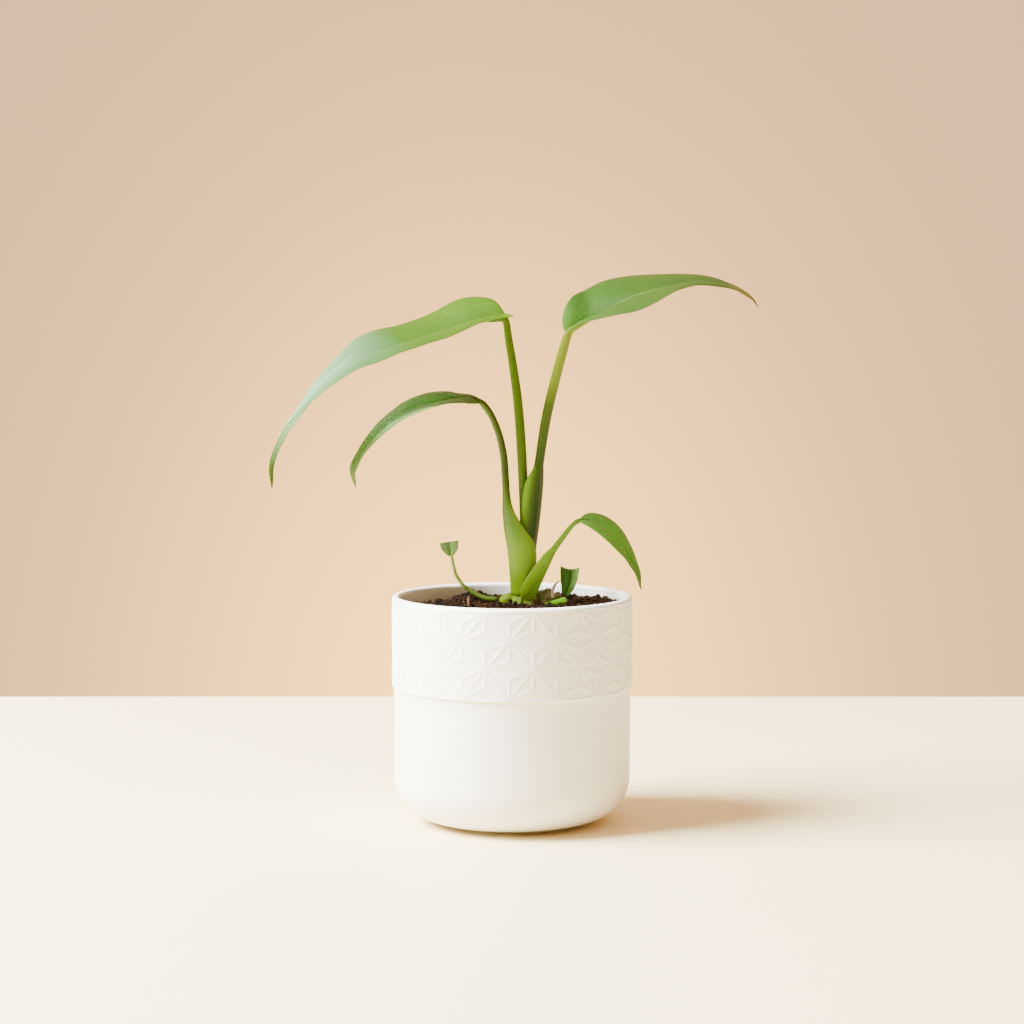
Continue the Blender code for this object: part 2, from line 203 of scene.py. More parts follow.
def grid_faces(rows: int, columns: int, closed: bool) -> np.ndarray:
    """The quads of a grid of points.

    Args:
        rows: How many rows of points it has.
        columns: How many points a row has.
        closed: Whether the last column joins the first.

    Returns:
        Four corner numbers for each quad, with the points numbered along the rows.
    """
    across = columns if closed else columns - 1
    i, j = np.meshgrid(np.arange(rows - 1), np.arange(across), indexing="ij")
    k = (j + 1) % columns
    quads = [i * columns + j, i * columns + k, (i + 1) * columns + k, (i + 1) * columns + j]
    return np.stack(quads, axis=-1).reshape(-1, 4)


def signed_volume(points: np.ndarray, triangles: np.ndarray) -> float:
    """A sixth of the sum of a . (b x c) over the triangles, positive where they face outwards."""
    a, b, c = (points[triangles[:, i]] for i in range(3))
    return float(np.einsum("ij,ij->i", a, np.cross(b, c)).sum() / 6)


def placed(name: str, data: bpy.types.ID) -> bpy.types.Object:
    """Links a new object to the scene.

    Args:
        name: The object's name.
        data: The mesh, light or camera that it holds.

    Returns:
        The object, at the origin.
    """
    obj = bpy.data.objects.new(name, data)
    bpy.context.scene.collection.objects.link(obj)
    return obj


def new_mesh(name: str, points: np.ndarray, faces: list[np.ndarray]) -> bpy.types.Object:
    """An object of a mesh with its faces turned outwards.

    Args:
        name: The piece's name.
        points: The vertices in metres.
        faces: Arrays of corner numbers, one for the quads and one for the triangles.

    Returns:
        The new object, linked to the scene and shaded smooth.
    """
    halves = [f[:, [0, 2, 3]] for f in faces if f.shape[1] == 4]
    triangles = np.vstack([f[:, :3] for f in faces] + halves)
    if signed_volume(points - points.mean(axis=0), triangles) < 0:
        faces = [f[:, ::-1] for f in faces]
    mesh = bpy.data.meshes.new(name)
    mesh.from_pydata(points, [], [row for f in faces for row in f.tolist()])
    mesh.shade_smooth()
    return placed(name, mesh)


def add_number(obj: bpy.types.Object, name: str, values: np.ndarray) -> None:
    """Stores one number for each vertex under a name that a material can read."""
    attribute = obj.data.attributes.new(name, "FLOAT", "POINT")
    attribute.data.foreach_set("value", np.asarray(values, np.float32).ravel())


def closed_tube(name: str, rings: np.ndarray, numbers: dict[str, np.ndarray]) -> bpy.types.Object:
    """A closed skin over rings of points.

    Args:
        name: The piece's name.
        rings: An array of rings, points and coordinates, in metres, with an even number of points.
        numbers: Arrays of rings and points, each stored as a vertex attribute of its name.

    Returns:
        The new object. Each end is closed by a ladder of quads between point j and point N - 1 - j,
        so a ring that doubles back on itself, as round a thin sheet, gets a thin end.
    """
    count, around = rings.shape[:2]
    step = np.arange(around // 2 - 1)
    rungs = np.stack([step, step + 1, around - 2 - step, around - 1 - step], axis=1)
    ends = np.vstack([rungs[:, ::-1], rungs + (count - 1) * around])
    obj = new_mesh(name, rings.reshape(-1, 3), [grid_faces(count, around, True), ends])
    for key, values in numbers.items():
        add_number(obj, key, values)
    return obj


def finish_piece(
    obj: bpy.types.Object,
    material: bpy.types.Material,
    slot: Slot,
    replaced: Sequence[str] = (),
) -> bpy.types.Object:
    """Dresses a piece, seats it on the body, hides the CAD nodes it replaces and logs its slot.

    Args:
        obj: The piece.
        material: Its finish.
        slot: The record's material slot that it belongs to.
        replaced: The CAD nodes that it takes the place of.

    Returns:
        The same piece.
    """
    obj.data.materials.clear()
    obj.data.materials.append(material)
    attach(obj, "root")
    if replaced:
        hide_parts(*replaced)
    LOG.info("%s: %d faces in slot %s", obj.name, len(obj.data.polygons), slot.value)
    return obj


# ---------------------------------------------------------------- finishes


class Shader:
    """A node material round one Principled shader, with short calls for the nodes it uses."""

    def __init__(self, name: str) -> None:
        """Makes an empty material.

        Args:
            name: The material's name.
        """
        self.material = bpy.data.materials.new(name)
        self.material.use_nodes = True
        self.tree = self.material.node_tree
        self.surface = self.tree.nodes["Principled BSDF"]
        self.place = self.node("ShaderNodeTexCoord").outputs["Object"]

    def node(self, kind: str, **settings: object) -> bpy.types.Node:
        """A new node.

        Args:
            kind: The node's type.
            settings: Its own settings, by name.

        Returns:
            The node.
        """
        made = self.tree.nodes.new(kind)
        for key, value in settings.items():
            setattr(made, key, value)
        return made

    def feed(self, socket: bpy.types.NodeSocket, value: object) -> None:
        """Links a socket to an output, or sets it to a constant.

        Args:
            socket: The input to feed.
            value: An output of another node, or a number, colour or vector.
        """
        if isinstance(value, bpy.types.NodeSocket):
            self.tree.links.new(value, socket)
        else:
            socket.default_value = value

    def set(self, **sockets: object) -> None:
        """Sets the shader's own sockets.

        Args:
            sockets: A value or an output for each, named with underscores for spaces.
        """
        for key, value in sockets.items():
            socket = self.surface.inputs[key.replace("_", " ")]
            is_colour = isinstance(value, tuple) and len(value) == 3 and socket.type == "RGBA"
            self.feed(socket, value + (1.0,) if is_colour else value)

    def math(self, operation: str, *values: object) -> bpy.types.NodeSocket:
        """A math node.

        Args:
            operation: What it does.
            values: The one, two or three things it works on.

        Returns:
            Its result.
        """
        made = self.node("ShaderNodeMath", operation=operation)
        for socket, value in zip(made.inputs, values):
            self.feed(socket, value)
        return made.outputs[0]

    def number(self, name: str) -> bpy.types.NodeSocket:
        """A number that the piece stores for each vertex."""
        return self.node("ShaderNodeAttribute", attribute_name=name).outputs["Fac"]

    def times(self, first: object, second: object) -> bpy.types.NodeSocket:
        """The product of two values."""
        return self.math("MULTIPLY", first, second)

    def spread(
        self, value: object, low: float, high: float, start: float = 0.0, end: float = 1.0
    ) -> bpy.types.NodeSocket:
        """A straight-line map, held at its ends.

        Args:
            value: What to map.
            low: The value that gives start.
            high: The value that gives end.
            start: The result at low and before it.
            end: The result at high and past it.

        Returns:
            The mapped value.
        """
        made = self.node("ShaderNodeMapRange")
        for socket, item in zip(made.inputs, (value, low, high, start, end)):
            self.feed(socket, item)
        return made.outputs[0]

    def ramp(self, value: object, stops: Stops) -> bpy.types.NodeSocket:
        """A colour read from stops.

        Args:
            value: Where to read, from 0 to 1.
            stops: The places and their colours.

        Returns:
            The colour, blended between the stops on each side.
        """
        made = self.node("ShaderNodeValToRGB")
        elements = made.color_ramp.elements
        while len(elements) < len(stops):
            elements.new(1.0)
        for element, (position, colour) in zip(elements, stops):
            element.position = position
            element.color = colour + (1.0,)
        self.feed(made.inputs["Fac"], value)
        return made.outputs["Color"]

    def mix(
        self, factor: object, first: object, second: object, blend: str = "MIX"
    ) -> bpy.types.NodeSocket:
        """Two colours blended.

        Args:
            factor: How much of the second there is, from 0 to 1.
            first: The colour at 0.
            second: The colour at 1, or what the first is changed by.
            blend: How the second meets the first.

        Returns:
            The colour.
        """
        made = self.node("ShaderNodeMix", data_type="RGBA", blend_type=blend, clamp_factor=True)
        colours = [socket for socket in made.inputs if socket.type == "RGBA"]
        self.feed(made.inputs["Factor"], factor)
        for socket, value in zip(colours, (first, second)):
            self.feed(socket, value + (1.0,) if isinstance(value, tuple) else value)
        return [socket for socket in made.outputs if socket.type == "RGBA"][0]

    def noise_at(
        self, vector: bpy.types.NodeSocket, scale: float, detail: float, rough: float
    ) -> bpy.types.NodeSocket:
        """Noise read at a vector.

        Args:
            vector: Where to read it.
            scale: How many lumps there are to a unit of the vector.
            detail: How many finer layers are added.
            rough: How much of each layer the next one keeps.

        Returns:
            The noise, from 0 to 1.
        """
        made = self.node("ShaderNodeTexNoise")
        self.feed(made.inputs["Vector"], vector)
        for key, value in (("Scale", scale), ("Detail", detail), ("Roughness", rough)):
            made.inputs[key].default_value = value
        return made.outputs["Fac"]

    def noise(self, scale: float, detail: float = 2.0, rough: float = 0.5) -> bpy.types.NodeSocket:
        """Noise on the piece's own coordinates, its scale in lumps to the metre."""
        return self.noise_at(self.place, scale, detail, rough)

    def streaks(self, across: object, along: object, fine: float, long: float) -> bpy.types.NodeSocket:
        """Noise drawn out along a piece.

        Args:
            across: The piece's number across or around.
            along: Its number along.
            fine: How many streaks there are to a unit across.
            long: How many there are to a unit along.

        Returns:
            The noise, from 0 to 1.
        """
        join = self.node("ShaderNodeCombineXYZ")
        self.feed(join.inputs["X"], self.times(across, fine))
        self.feed(join.inputs["Y"], self.times(along, long))
        return self.noise_at(join.outputs[0], 1.0, 3.0, 0.5)

    def bump(self, height: object, depth: float, strength: float = 1.0) -> None:
        """Fine relief under the shader.

        Args:
            height: The relief, from 0 to 1.
            depth: How deep it is in metres.
            strength: How much of it shows.
        """
        made = self.node("ShaderNodeBump")
        made.inputs["Strength"].default_value = strength
        made.inputs["Distance"].default_value = depth
        self.feed(made.inputs["Height"], height)
        self.feed(self.surface.inputs["Normal"], made.outputs[0])


@dataclass(frozen=True)
class CeramicGlaze:
    """A satin white glaze with a faint unevenness and a few pin-sized specks."""

    colour: Colour = (0.80, 0.80, 0.785)
    shade: Colour = (0.75, 0.735, 0.70)
    speck: Colour = (0.55, 0.5, 0.43)
    roughness: float = 0.42
    cloud_scale: float = 28.0
    satin_scale: float = 160.0
    speck_scale: float = 900.0
    grain_scale: float = 2600.0
    grain_depth: float = 0.00003

    def material(self) -> bpy.types.Material:
        """Mixes the glaze: clouded, specked, and a little rougher here and there.

        Returns:
            The material.
        """
        shader = Shader("planter_glaze")
        cloud = shader.spread(shader.noise(self.cloud_scale, 3.0), 0.35, 0.7)
        tone = shader.mix(shader.times(cloud, 0.5), self.colour, self.shade)
        speck = shader.spread(shader.noise(self.speck_scale, 1.0), 0.74, 0.80)
        tone = shader.mix(shader.times(speck, 0.25), tone, self.speck)
        satin = shader.noise(self.satin_scale, 3.0)
        shader.set(
            Base_Color=tone,
            Roughness=shader.spread(satin, 0.3, 0.7, self.roughness - 0.05, self.roughness + 0.07),
            Specular_IOR_Level=0.45,
            Coat_Weight=0.06,
            Coat_Roughness=0.3,
        )
        shader.bump(shader.noise(self.grain_scale, 2.0, 0.6), self.grain_depth, 0.35)
        return shader.material


@dataclass(frozen=True)
class PottingMix:
    """Dark moist potting mix: near-black peat, red-brown bark and a little tan fibre."""

    name: str
    stops: Stops = (
        (0.15, (0.012, 0.007, 0.005)),
        (0.45, (0.035, 0.019, 0.013)),
        (0.70, (0.085, 0.042, 0.025)),
        (0.88, (0.16, 0.085, 0.05)),
        (1.00, (0.30, 0.19, 0.11)),
    )
    roughness: float = 0.9
    tone_scale: float = 1400.0
    tone_reach: float = 0.18
    grain_scale: float = 2200.0
    grain_depth: float = 0.0003

    def material(self) -> bpy.types.Material:
        """Colours the mix by each crumb's own tone and by fine noise.

        Returns:
            The material.
        """
        shader = Shader(self.name)
        fine = shader.noise(self.tone_scale, 4.0, 0.65)
        fine = shader.spread(fine, 0.2, 0.8, -self.tone_reach, self.tone_reach)
        tone = shader.ramp(shader.math("ADD", shader.number("tone"), fine), self.stops)
        shader.set(Base_Color=tone, Roughness=self.roughness, Specular_IOR_Level=0.3)
        shader.bump(shader.noise(self.grain_scale, 5.0, 0.7), self.grain_depth, 0.9)
        return shader.material


@dataclass(frozen=True)
class StalkSkin:
    """A stalk's skin: colours from foot to top, a pale sheath edge and long faint streaks."""

    name: str
    stops: Stops
    edge: Colour = (0.60, 0.66, 0.28)
    edge_share: float = 0.75
    edge_reach: tuple[float, float] = (0.25, 1.0)
    streak: Colour = (0.72, 0.80, 0.62)
    streak_share: float = 0.55
    flesh: float = 0.05
    roughness: float = 0.42
    ridge_depth: float = 0.00005

    def material(self) -> bpy.types.Material:
        """Colours the skin by the stalk's own numbers along, wing and around.

        Returns:
            The material.
        """
        shader = Shader(self.name)
        along, wing, around = (shader.number(key) for key in ("along", "wing", "around"))
        tone = shader.ramp(along, self.stops)
        line = shader.spread(shader.streaks(around, along, 26.0, 2.2), 0.32, 0.68)
        dark = shader.mix(1.0, tone, self.streak, "MULTIPLY")
        tone = shader.mix(shader.times(line, self.streak_share), tone, dark)
        pale = shader.times(shader.spread(wing, *self.edge_reach), self.edge_share)
        tone = shader.mix(pale, tone, self.edge)
        shader.set(
            Base_Color=tone,
            Roughness=self.roughness,
            Subsurface_Weight=self.flesh,
            Subsurface_Radius=(0.6, 1.0, 0.2),
            Subsurface_Scale=0.0012,
            Specular_IOR_Level=0.2,
        )
        shader.bump(shader.streaks(around, along, 60.0, 3.0), self.ridge_depth, 0.4)
        return shader.material


@dataclass(frozen=True)
class LeafSkin:
    """A blade's skin: colours from base to tip, a light midrib, fine side veins and a painted sheen.

    The painted sheen is a pale colour that stands in for the gloss's reflection of the key and the
    wall. Its span is where along the blade it starts, where it ends and how strong it is; it comes
    in over the rise and goes over the fall. Its side is where across the blade, from -1 at the near
    margin to 1 at the far one, it starts and where it is full.
    """

    name: str
    stops: Stops
    rib: Colour = (0.18, 0.38, 0.05)
    rib_reach: float = 0.055
    margin: Colour = (0.10, 0.14, 0.01)
    margin_share: float = 0.6
    margin_start: float = 0.965
    # Painted sheen: a pale colour that stands in for the gloss's reflection of the key and the wall.
    painted_sheen: Colour = (0.38, 0.80, 0.58)
    sheen_span: tuple[float, float, float] = (0.4, 0.6, 0.0)
    sheen_rise: float = 0.28
    sheen_fall: float = 0.14
    sheen_side: tuple[float, float] = (-2.0, -1.5)
    veins: float = 34.0
    vein: Colour = (1.22, 1.16, 1.25)
    patch: Colour = (0.84, 0.88, 0.80)
    patch_scale: float = 120.0
    below: Colour = (1.1, 1.06, 1.3)
    flesh: float = 0.04
    roughness: float = 0.5
    gloss_scale: float = 300.0
    grain_scale: float = 700.0
    grain_depth: float = 0.00003

    def material(self) -> bpy.types.Material:
        """Colours the skin by the blade's own numbers along, across and under.

        Returns:
            The material.
        """
        shader = Shader(self.name)
        along, across, under = (shader.number(key) for key in ("along", "across", "under"))
        reach = shader.math("ABSOLUTE", across)
        tone = shader.ramp(along, self.stops)
        slant = shader.times(shader.math("POWER", reach, VEIN_BEND), VEIN_SLANT)
        run = shader.math("SUBTRACT", along, slant)
        wave = shader.math("SINE", shader.times(run, self.veins * 2 * math.pi))
        line = shader.spread(wave, 0.55, 1.0)
        lit = shader.mix(1.0, tone, self.vein, "MULTIPLY")
        tone = shader.mix(shader.times(line, 0.35), tone, lit)
        patch = shader.spread(shader.noise(self.patch_scale, 4.0, 0.6), 0.35, 0.65)
        deep = shader.mix(1.0, tone, self.patch, "MULTIPLY")
        tone = shader.mix(shader.times(patch, 0.7), tone, deep)
        # Painted sheen laid over the skin in place of the gloss's reflection.
        tone = shader.mix(self.sheen_share(shader, along, across), tone, self.painted_sheen)
        narrow = shader.spread(reach, 0.0, self.rib_reach, 1.0, 0.0)
        fade = shader.spread(along, 0.55, 1.0, 1.0, 0.25)
        tone = shader.mix(shader.times(narrow, fade), tone, self.rib)
        edge = shader.times(shader.spread(reach, self.margin_start, 1.0), self.margin_share)
        tone = shader.mix(edge, tone, self.margin)
        below = shader.mix(1.0, tone, self.below, "MULTIPLY")
        tone = shader.mix(shader.times(under, 0.6), tone, below)
        gloss = shader.noise(self.gloss_scale, 3.0)
        gloss = shader.spread(gloss, 0.3, 0.7, self.roughness - 0.04, self.roughness + 0.08)
        shader.set(
            Base_Color=tone,
            Roughness=gloss,
            Subsurface_Weight=self.flesh,
            Subsurface_Radius=(0.5, 1.0, 0.15),
            Subsurface_Scale=0.001,
            Specular_IOR_Level=0.28,
        )
        shader.bump(shader.noise(self.grain_scale), self.grain_depth, 0.25)
        return shader.material

    def sheen_share(
        self, shader: Shader, along: bpy.types.NodeSocket, across: bpy.types.NodeSocket
    ) -> bpy.types.NodeSocket:
        """How much painted sheen lies on the skin.

        Args:
            shader: The material's shader.
            along: The blade's number from base to tip.
            across: Its number from the near margin to the far one.

        Returns:
            The painted sheen's strength: its rise times its fall, its side and long faint streaks.
        """
        start, end, most = self.sheen_span
        rise = shader.spread(along, start, start + self.sheen_rise)
        fall = shader.spread(along, end - self.sheen_fall, end, 1.0, 0.0)
        side = shader.spread(across, *self.sheen_side)
        streak = shader.spread(shader.streaks(across, along, 7.0, 6.0), 0.3, 0.65, 0.55, 1.0)
        return shader.times(shader.times(shader.times(rise, fall), most), shader.times(side, streak))


@dataclass(frozen=True)
class CorkSkin:
    """The crown's skin: yellow-green growth that turns to brown cork and moss over the knobs."""

    name: str = "crown_cork"
    stops: Stops = (
        (0.10, (0.30, 0.50, 0.004)),
        (0.35, (0.20, 0.34, 0.006)),
        (0.60, (0.11, 0.16, 0.012)),
        (0.85, (0.09, 0.085, 0.020)),
        (1.00, (0.24, 0.18, 0.08)),
    )
    roughness: float = 0.6
    mottle_scale: float = 420.0
    mottle_reach: float = 0.3
    grain_scale: float = 900.0
    grain_depth: float = 0.0004

    def material(self) -> bpy.types.Material:
        """Colours the skin by how old each place is and by noise.

        Returns:
            The material.
        """
        shader = Shader(self.name)
        mottle = shader.noise(self.mottle_scale, 4.0, 0.6)
        mottle = shader.spread(mottle, 0.3, 0.7, -self.mottle_reach, self.mottle_reach)
        tone = shader.ramp(shader.math("ADD", shader.number("age"), mottle), self.stops)
        shader.set(Base_Color=tone, Roughness=self.roughness, Specular_IOR_Level=0.4)
        shader.bump(shader.noise(self.grain_scale, 4.0, 0.7), self.grain_depth, 0.7)
        return shader.material


@dataclass(frozen=True)
class DrySkin:
    """Papery or woody dead tissue with long streaks."""

    name: str
    light: Colour
    dark: Colour
    roughness: float = 0.75
    grain_depth: float = 0.0002

    def material(self) -> bpy.types.Material:
        """Colours the skin by the piece's own numbers along and around.

        Returns:
            The material.
        """
        shader = Shader(self.name)
        grain = shader.streaks(shader.number("around"), shader.number("along"), 14.0, 3.0)
        tone = shader.mix(shader.spread(grain, 0.3, 0.7), self.dark, self.light)
        shader.set(Base_Color=tone, Roughness=self.roughness, Specular_IOR_Level=0.3)
        shader.bump(grain, self.grain_depth, 0.8)
        return shader.material


# ---------------------------------------------------------------- planter


def distance_to_segment(u: np.ndarray, v: np.ndarray, start: Point, end: Point) -> np.ndarray:
    """How far points of a plane are from a segment.

    Args:
        u: The points' first coordinates.
        v: Their second ones.
        start: One end of the segment.
        end: The other end.

    Returns:
        The distances, each to the place at the share ((p - start) . run) / run^2, held from 0 to 1.
    """
    run_u, run_v = end[0] - start[0], end[1] - start[1]
    share = ((u - start[0]) * run_u + (v - start[1]) * run_v) / (run_u**2 + run_v**2)
    share = np.clip(share, 0.0, 1.0)
    return np.hypot(u - start[0] - share * run_u, v - start[1] - share * run_v)


def arc(centre: Point, radius: float, start: float, end: float, steps: int) -> np.ndarray:
    """Points along an arc.

    Args:
        centre: The arc's centre.
        radius: Its radius.
        start: The angle it starts at, in degrees.
        end: The angle it ends at.
        steps: How many steps it is cut into.

    Returns:
        The points, with both ends: centre + radius (cos, sin).
    """
    angles = np.radians(np.linspace(start, end, steps + 1))
    return np.stack([centre[0] + radius * np.cos(angles), centre[1] + radius * np.sin(angles)], axis=1)


@dataclass
class Planter:
    """A turned white planter with a rounded lip, a round heel and an embossed band of stars."""

    columns: int = 832
    wall: float = 4.2
    floor: float = 5.0
    floor_rings: tuple[float, ...] = (12.0, 26.0)
    wall_rings: tuple[float, ...] = (60.0, 95.0, 112.0, 116.0, 118.5)
    side_rings: tuple[float, ...] = (66.0, 52.0, 38.0)
    band_height: float = 48.5
    band_step: float = 0.9
    band_rows: int = 62
    heel_radius: float = 25.0
    foot_inset: float = 4.0
    foot_width: float = 3.0
    foot_height: float = 2.0
    stars_around: int = 16
    star_rise: float = 14.8
    top_star_drop: float = 2.3
    star_turn: float = -1.3
    rib_width: float = 0.55
    rib_height: float = 0.27
    skirt_width: float = 2.6
    skirt_height: float = 0.11
    recess: float = 0.25
    glaze: CeramicGlaze = field(default_factory=CeramicGlaze)

    def __post_init__(self) -> None:
        """Takes the height and the rim's radius from the frame."""
        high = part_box("pot")[1]
        self.height = high.z / MM
        self.radius = high.x / MM

    def cavity(self) -> np.ndarray:
        """The inside's section.

        Returns:
            Radii and heights over the floor, round a quarter circle and up the wall to the lip.
        """
        corner = self.heel_radius - self.wall
        middle = (self.radius - self.wall - corner, self.floor + corner)
        floor = [(radius, self.floor) for radius in self.floor_rings]
        wall = [(middle[0] + corner, z) for z in self.wall_rings]
        return np.vstack([floor, arc(middle, corner, -90.0, 0.0, 7), wall])

    def profile(self) -> tuple[np.ndarray, np.ndarray]:
        """The section from the floor over the lip and down to the foot.

        Returns:
            The section's points as radius and height, and how much relief each one takes.
        """
        lip = self.wall / 2
        rim = arc((self.radius - lip, self.height - lip), lip, 180.0, 0.0, 10)
        body = self.radius - self.band_step
        bottom = self.height - self.band_height
        ground = self.radius - self.recess
        top = self.height - lip
        band_z = np.linspace(top - 0.5, bottom + 0.5, self.band_rows)
        band = np.stack([np.full(self.band_rows, ground), band_z], axis=1)
        ledge = [
            (self.radius, bottom + 0.1),
            (self.radius - 0.1, bottom - 0.25),
            (body + 0.15, bottom - 0.75),
            (body, bottom - 1.1),
        ]
        side = [(body, z) for z in self.side_rings]
        turn = self.heel_radius - self.foot_height
        heel = arc((body - turn, self.heel_radius), turn, 0.0, -90.0, 14)
        points = np.vstack([self.cavity(), rim, band, ledge, side, heel, self.foot(body)])
        before = len(self.cavity()) + len(rim)
        relief = np.zeros(len(points))
        relief[before : before + self.band_rows] = 1.0
        return points, relief

    def foot(self, body: float) -> list[Point]:
        """The underside's section.

        Args:
            body: The radius of the planter's side.

        Returns:
            Radii and heights from the heel over the ring that it stands on to the middle.
        """
        edge = body - self.heel_radius - self.foot_inset
        inner = edge - self.foot_width
        return [
            (edge + 0.6, self.foot_height),
            (edge, self.foot_height - 0.3),
            (edge - 0.2, 0.3),
            (edge - 0.6, 0.0),
            (inner, 0.0),
            (inner - 0.8, self.foot_height),
            (self.floor_rings[0], self.foot_height),
        ]

    def relief(self, azimuth: np.ndarray, height: np.ndarray) -> np.ndarray:
        """Height of the band's relief above its ground.

        Args:
            azimuth: Angles round the planter from its front, in radians.
            height: Heights above the ground in millimetres.

        Returns:
            A rib's narrow crest, exp(-(d/width)^2), on a wide shallow skirt, 1 - d/width, where d is
            the distance to the nearest rib. Stars stand on rows, each half a pitch on from the row
            below. A rib joins neighbouring stars of two rows, and three ribs meet in the middle of
            each triangle of stars.
        """
        pitch = 2 * math.pi * self.radius / self.stars_around
        rise = self.star_rise
        along = (azimuth - math.radians(self.star_turn)) * self.radius
        above = height - (self.height - self.top_star_drop - 3 * rise)
        row = np.floor(above / rise)
        u = np.mod(along - 0.5 * pitch * np.mod(row, 2), pitch)
        v = above - row * rise
        left, right, peak = (0.0, 0.0), (pitch, 0.0), (pitch / 2, rise)
        middle = (pitch / 2, rise / 3)
        sides = ((0.0, 2 * rise / 3), (pitch, 2 * rise / 3))
        ribs = [(left, peak), (right, peak), (middle, left), (middle, right), (middle, peak)]
        ribs += [(sides[0], left), (sides[0], peak), (sides[1], right), (sides[1], peak)]
        away = np.min([distance_to_segment(u, v, start, end) for start, end in ribs], axis=0)
        crest = self.rib_height * np.exp(-((away / self.rib_width) ** 2))
        return crest + self.skirt_height * np.maximum(0.0, 1 - away / self.skirt_width)

    def build(self) -> bpy.types.Object:
        """Builds the planter.

        Returns:
            The piece: its section turned on Z and pushed outwards by the relief.
        """
        section, weights = self.profile()
        angles = turns(self.columns)
        azimuth = np.arctan2(np.cos(angles), -np.sin(angles))
        lift = self.relief(azimuth[None, :], section[:, 1:]) * weights[:, None]
        rings = turned(section[:, :1] + lift, section[:, 1:], angles)
        obj = closed_tube("planter_body", rings * MM, {})
        return finish_piece(obj, self.glaze.material(), Slot.PLANTER, ["pot"])


# ---------------------------------------------------------------- soil


@dataclass(frozen=True)
class Mound:
    """A low heap of soil: its place, height and spread."""

    x: float
    y: float
    height: float
    spread: float


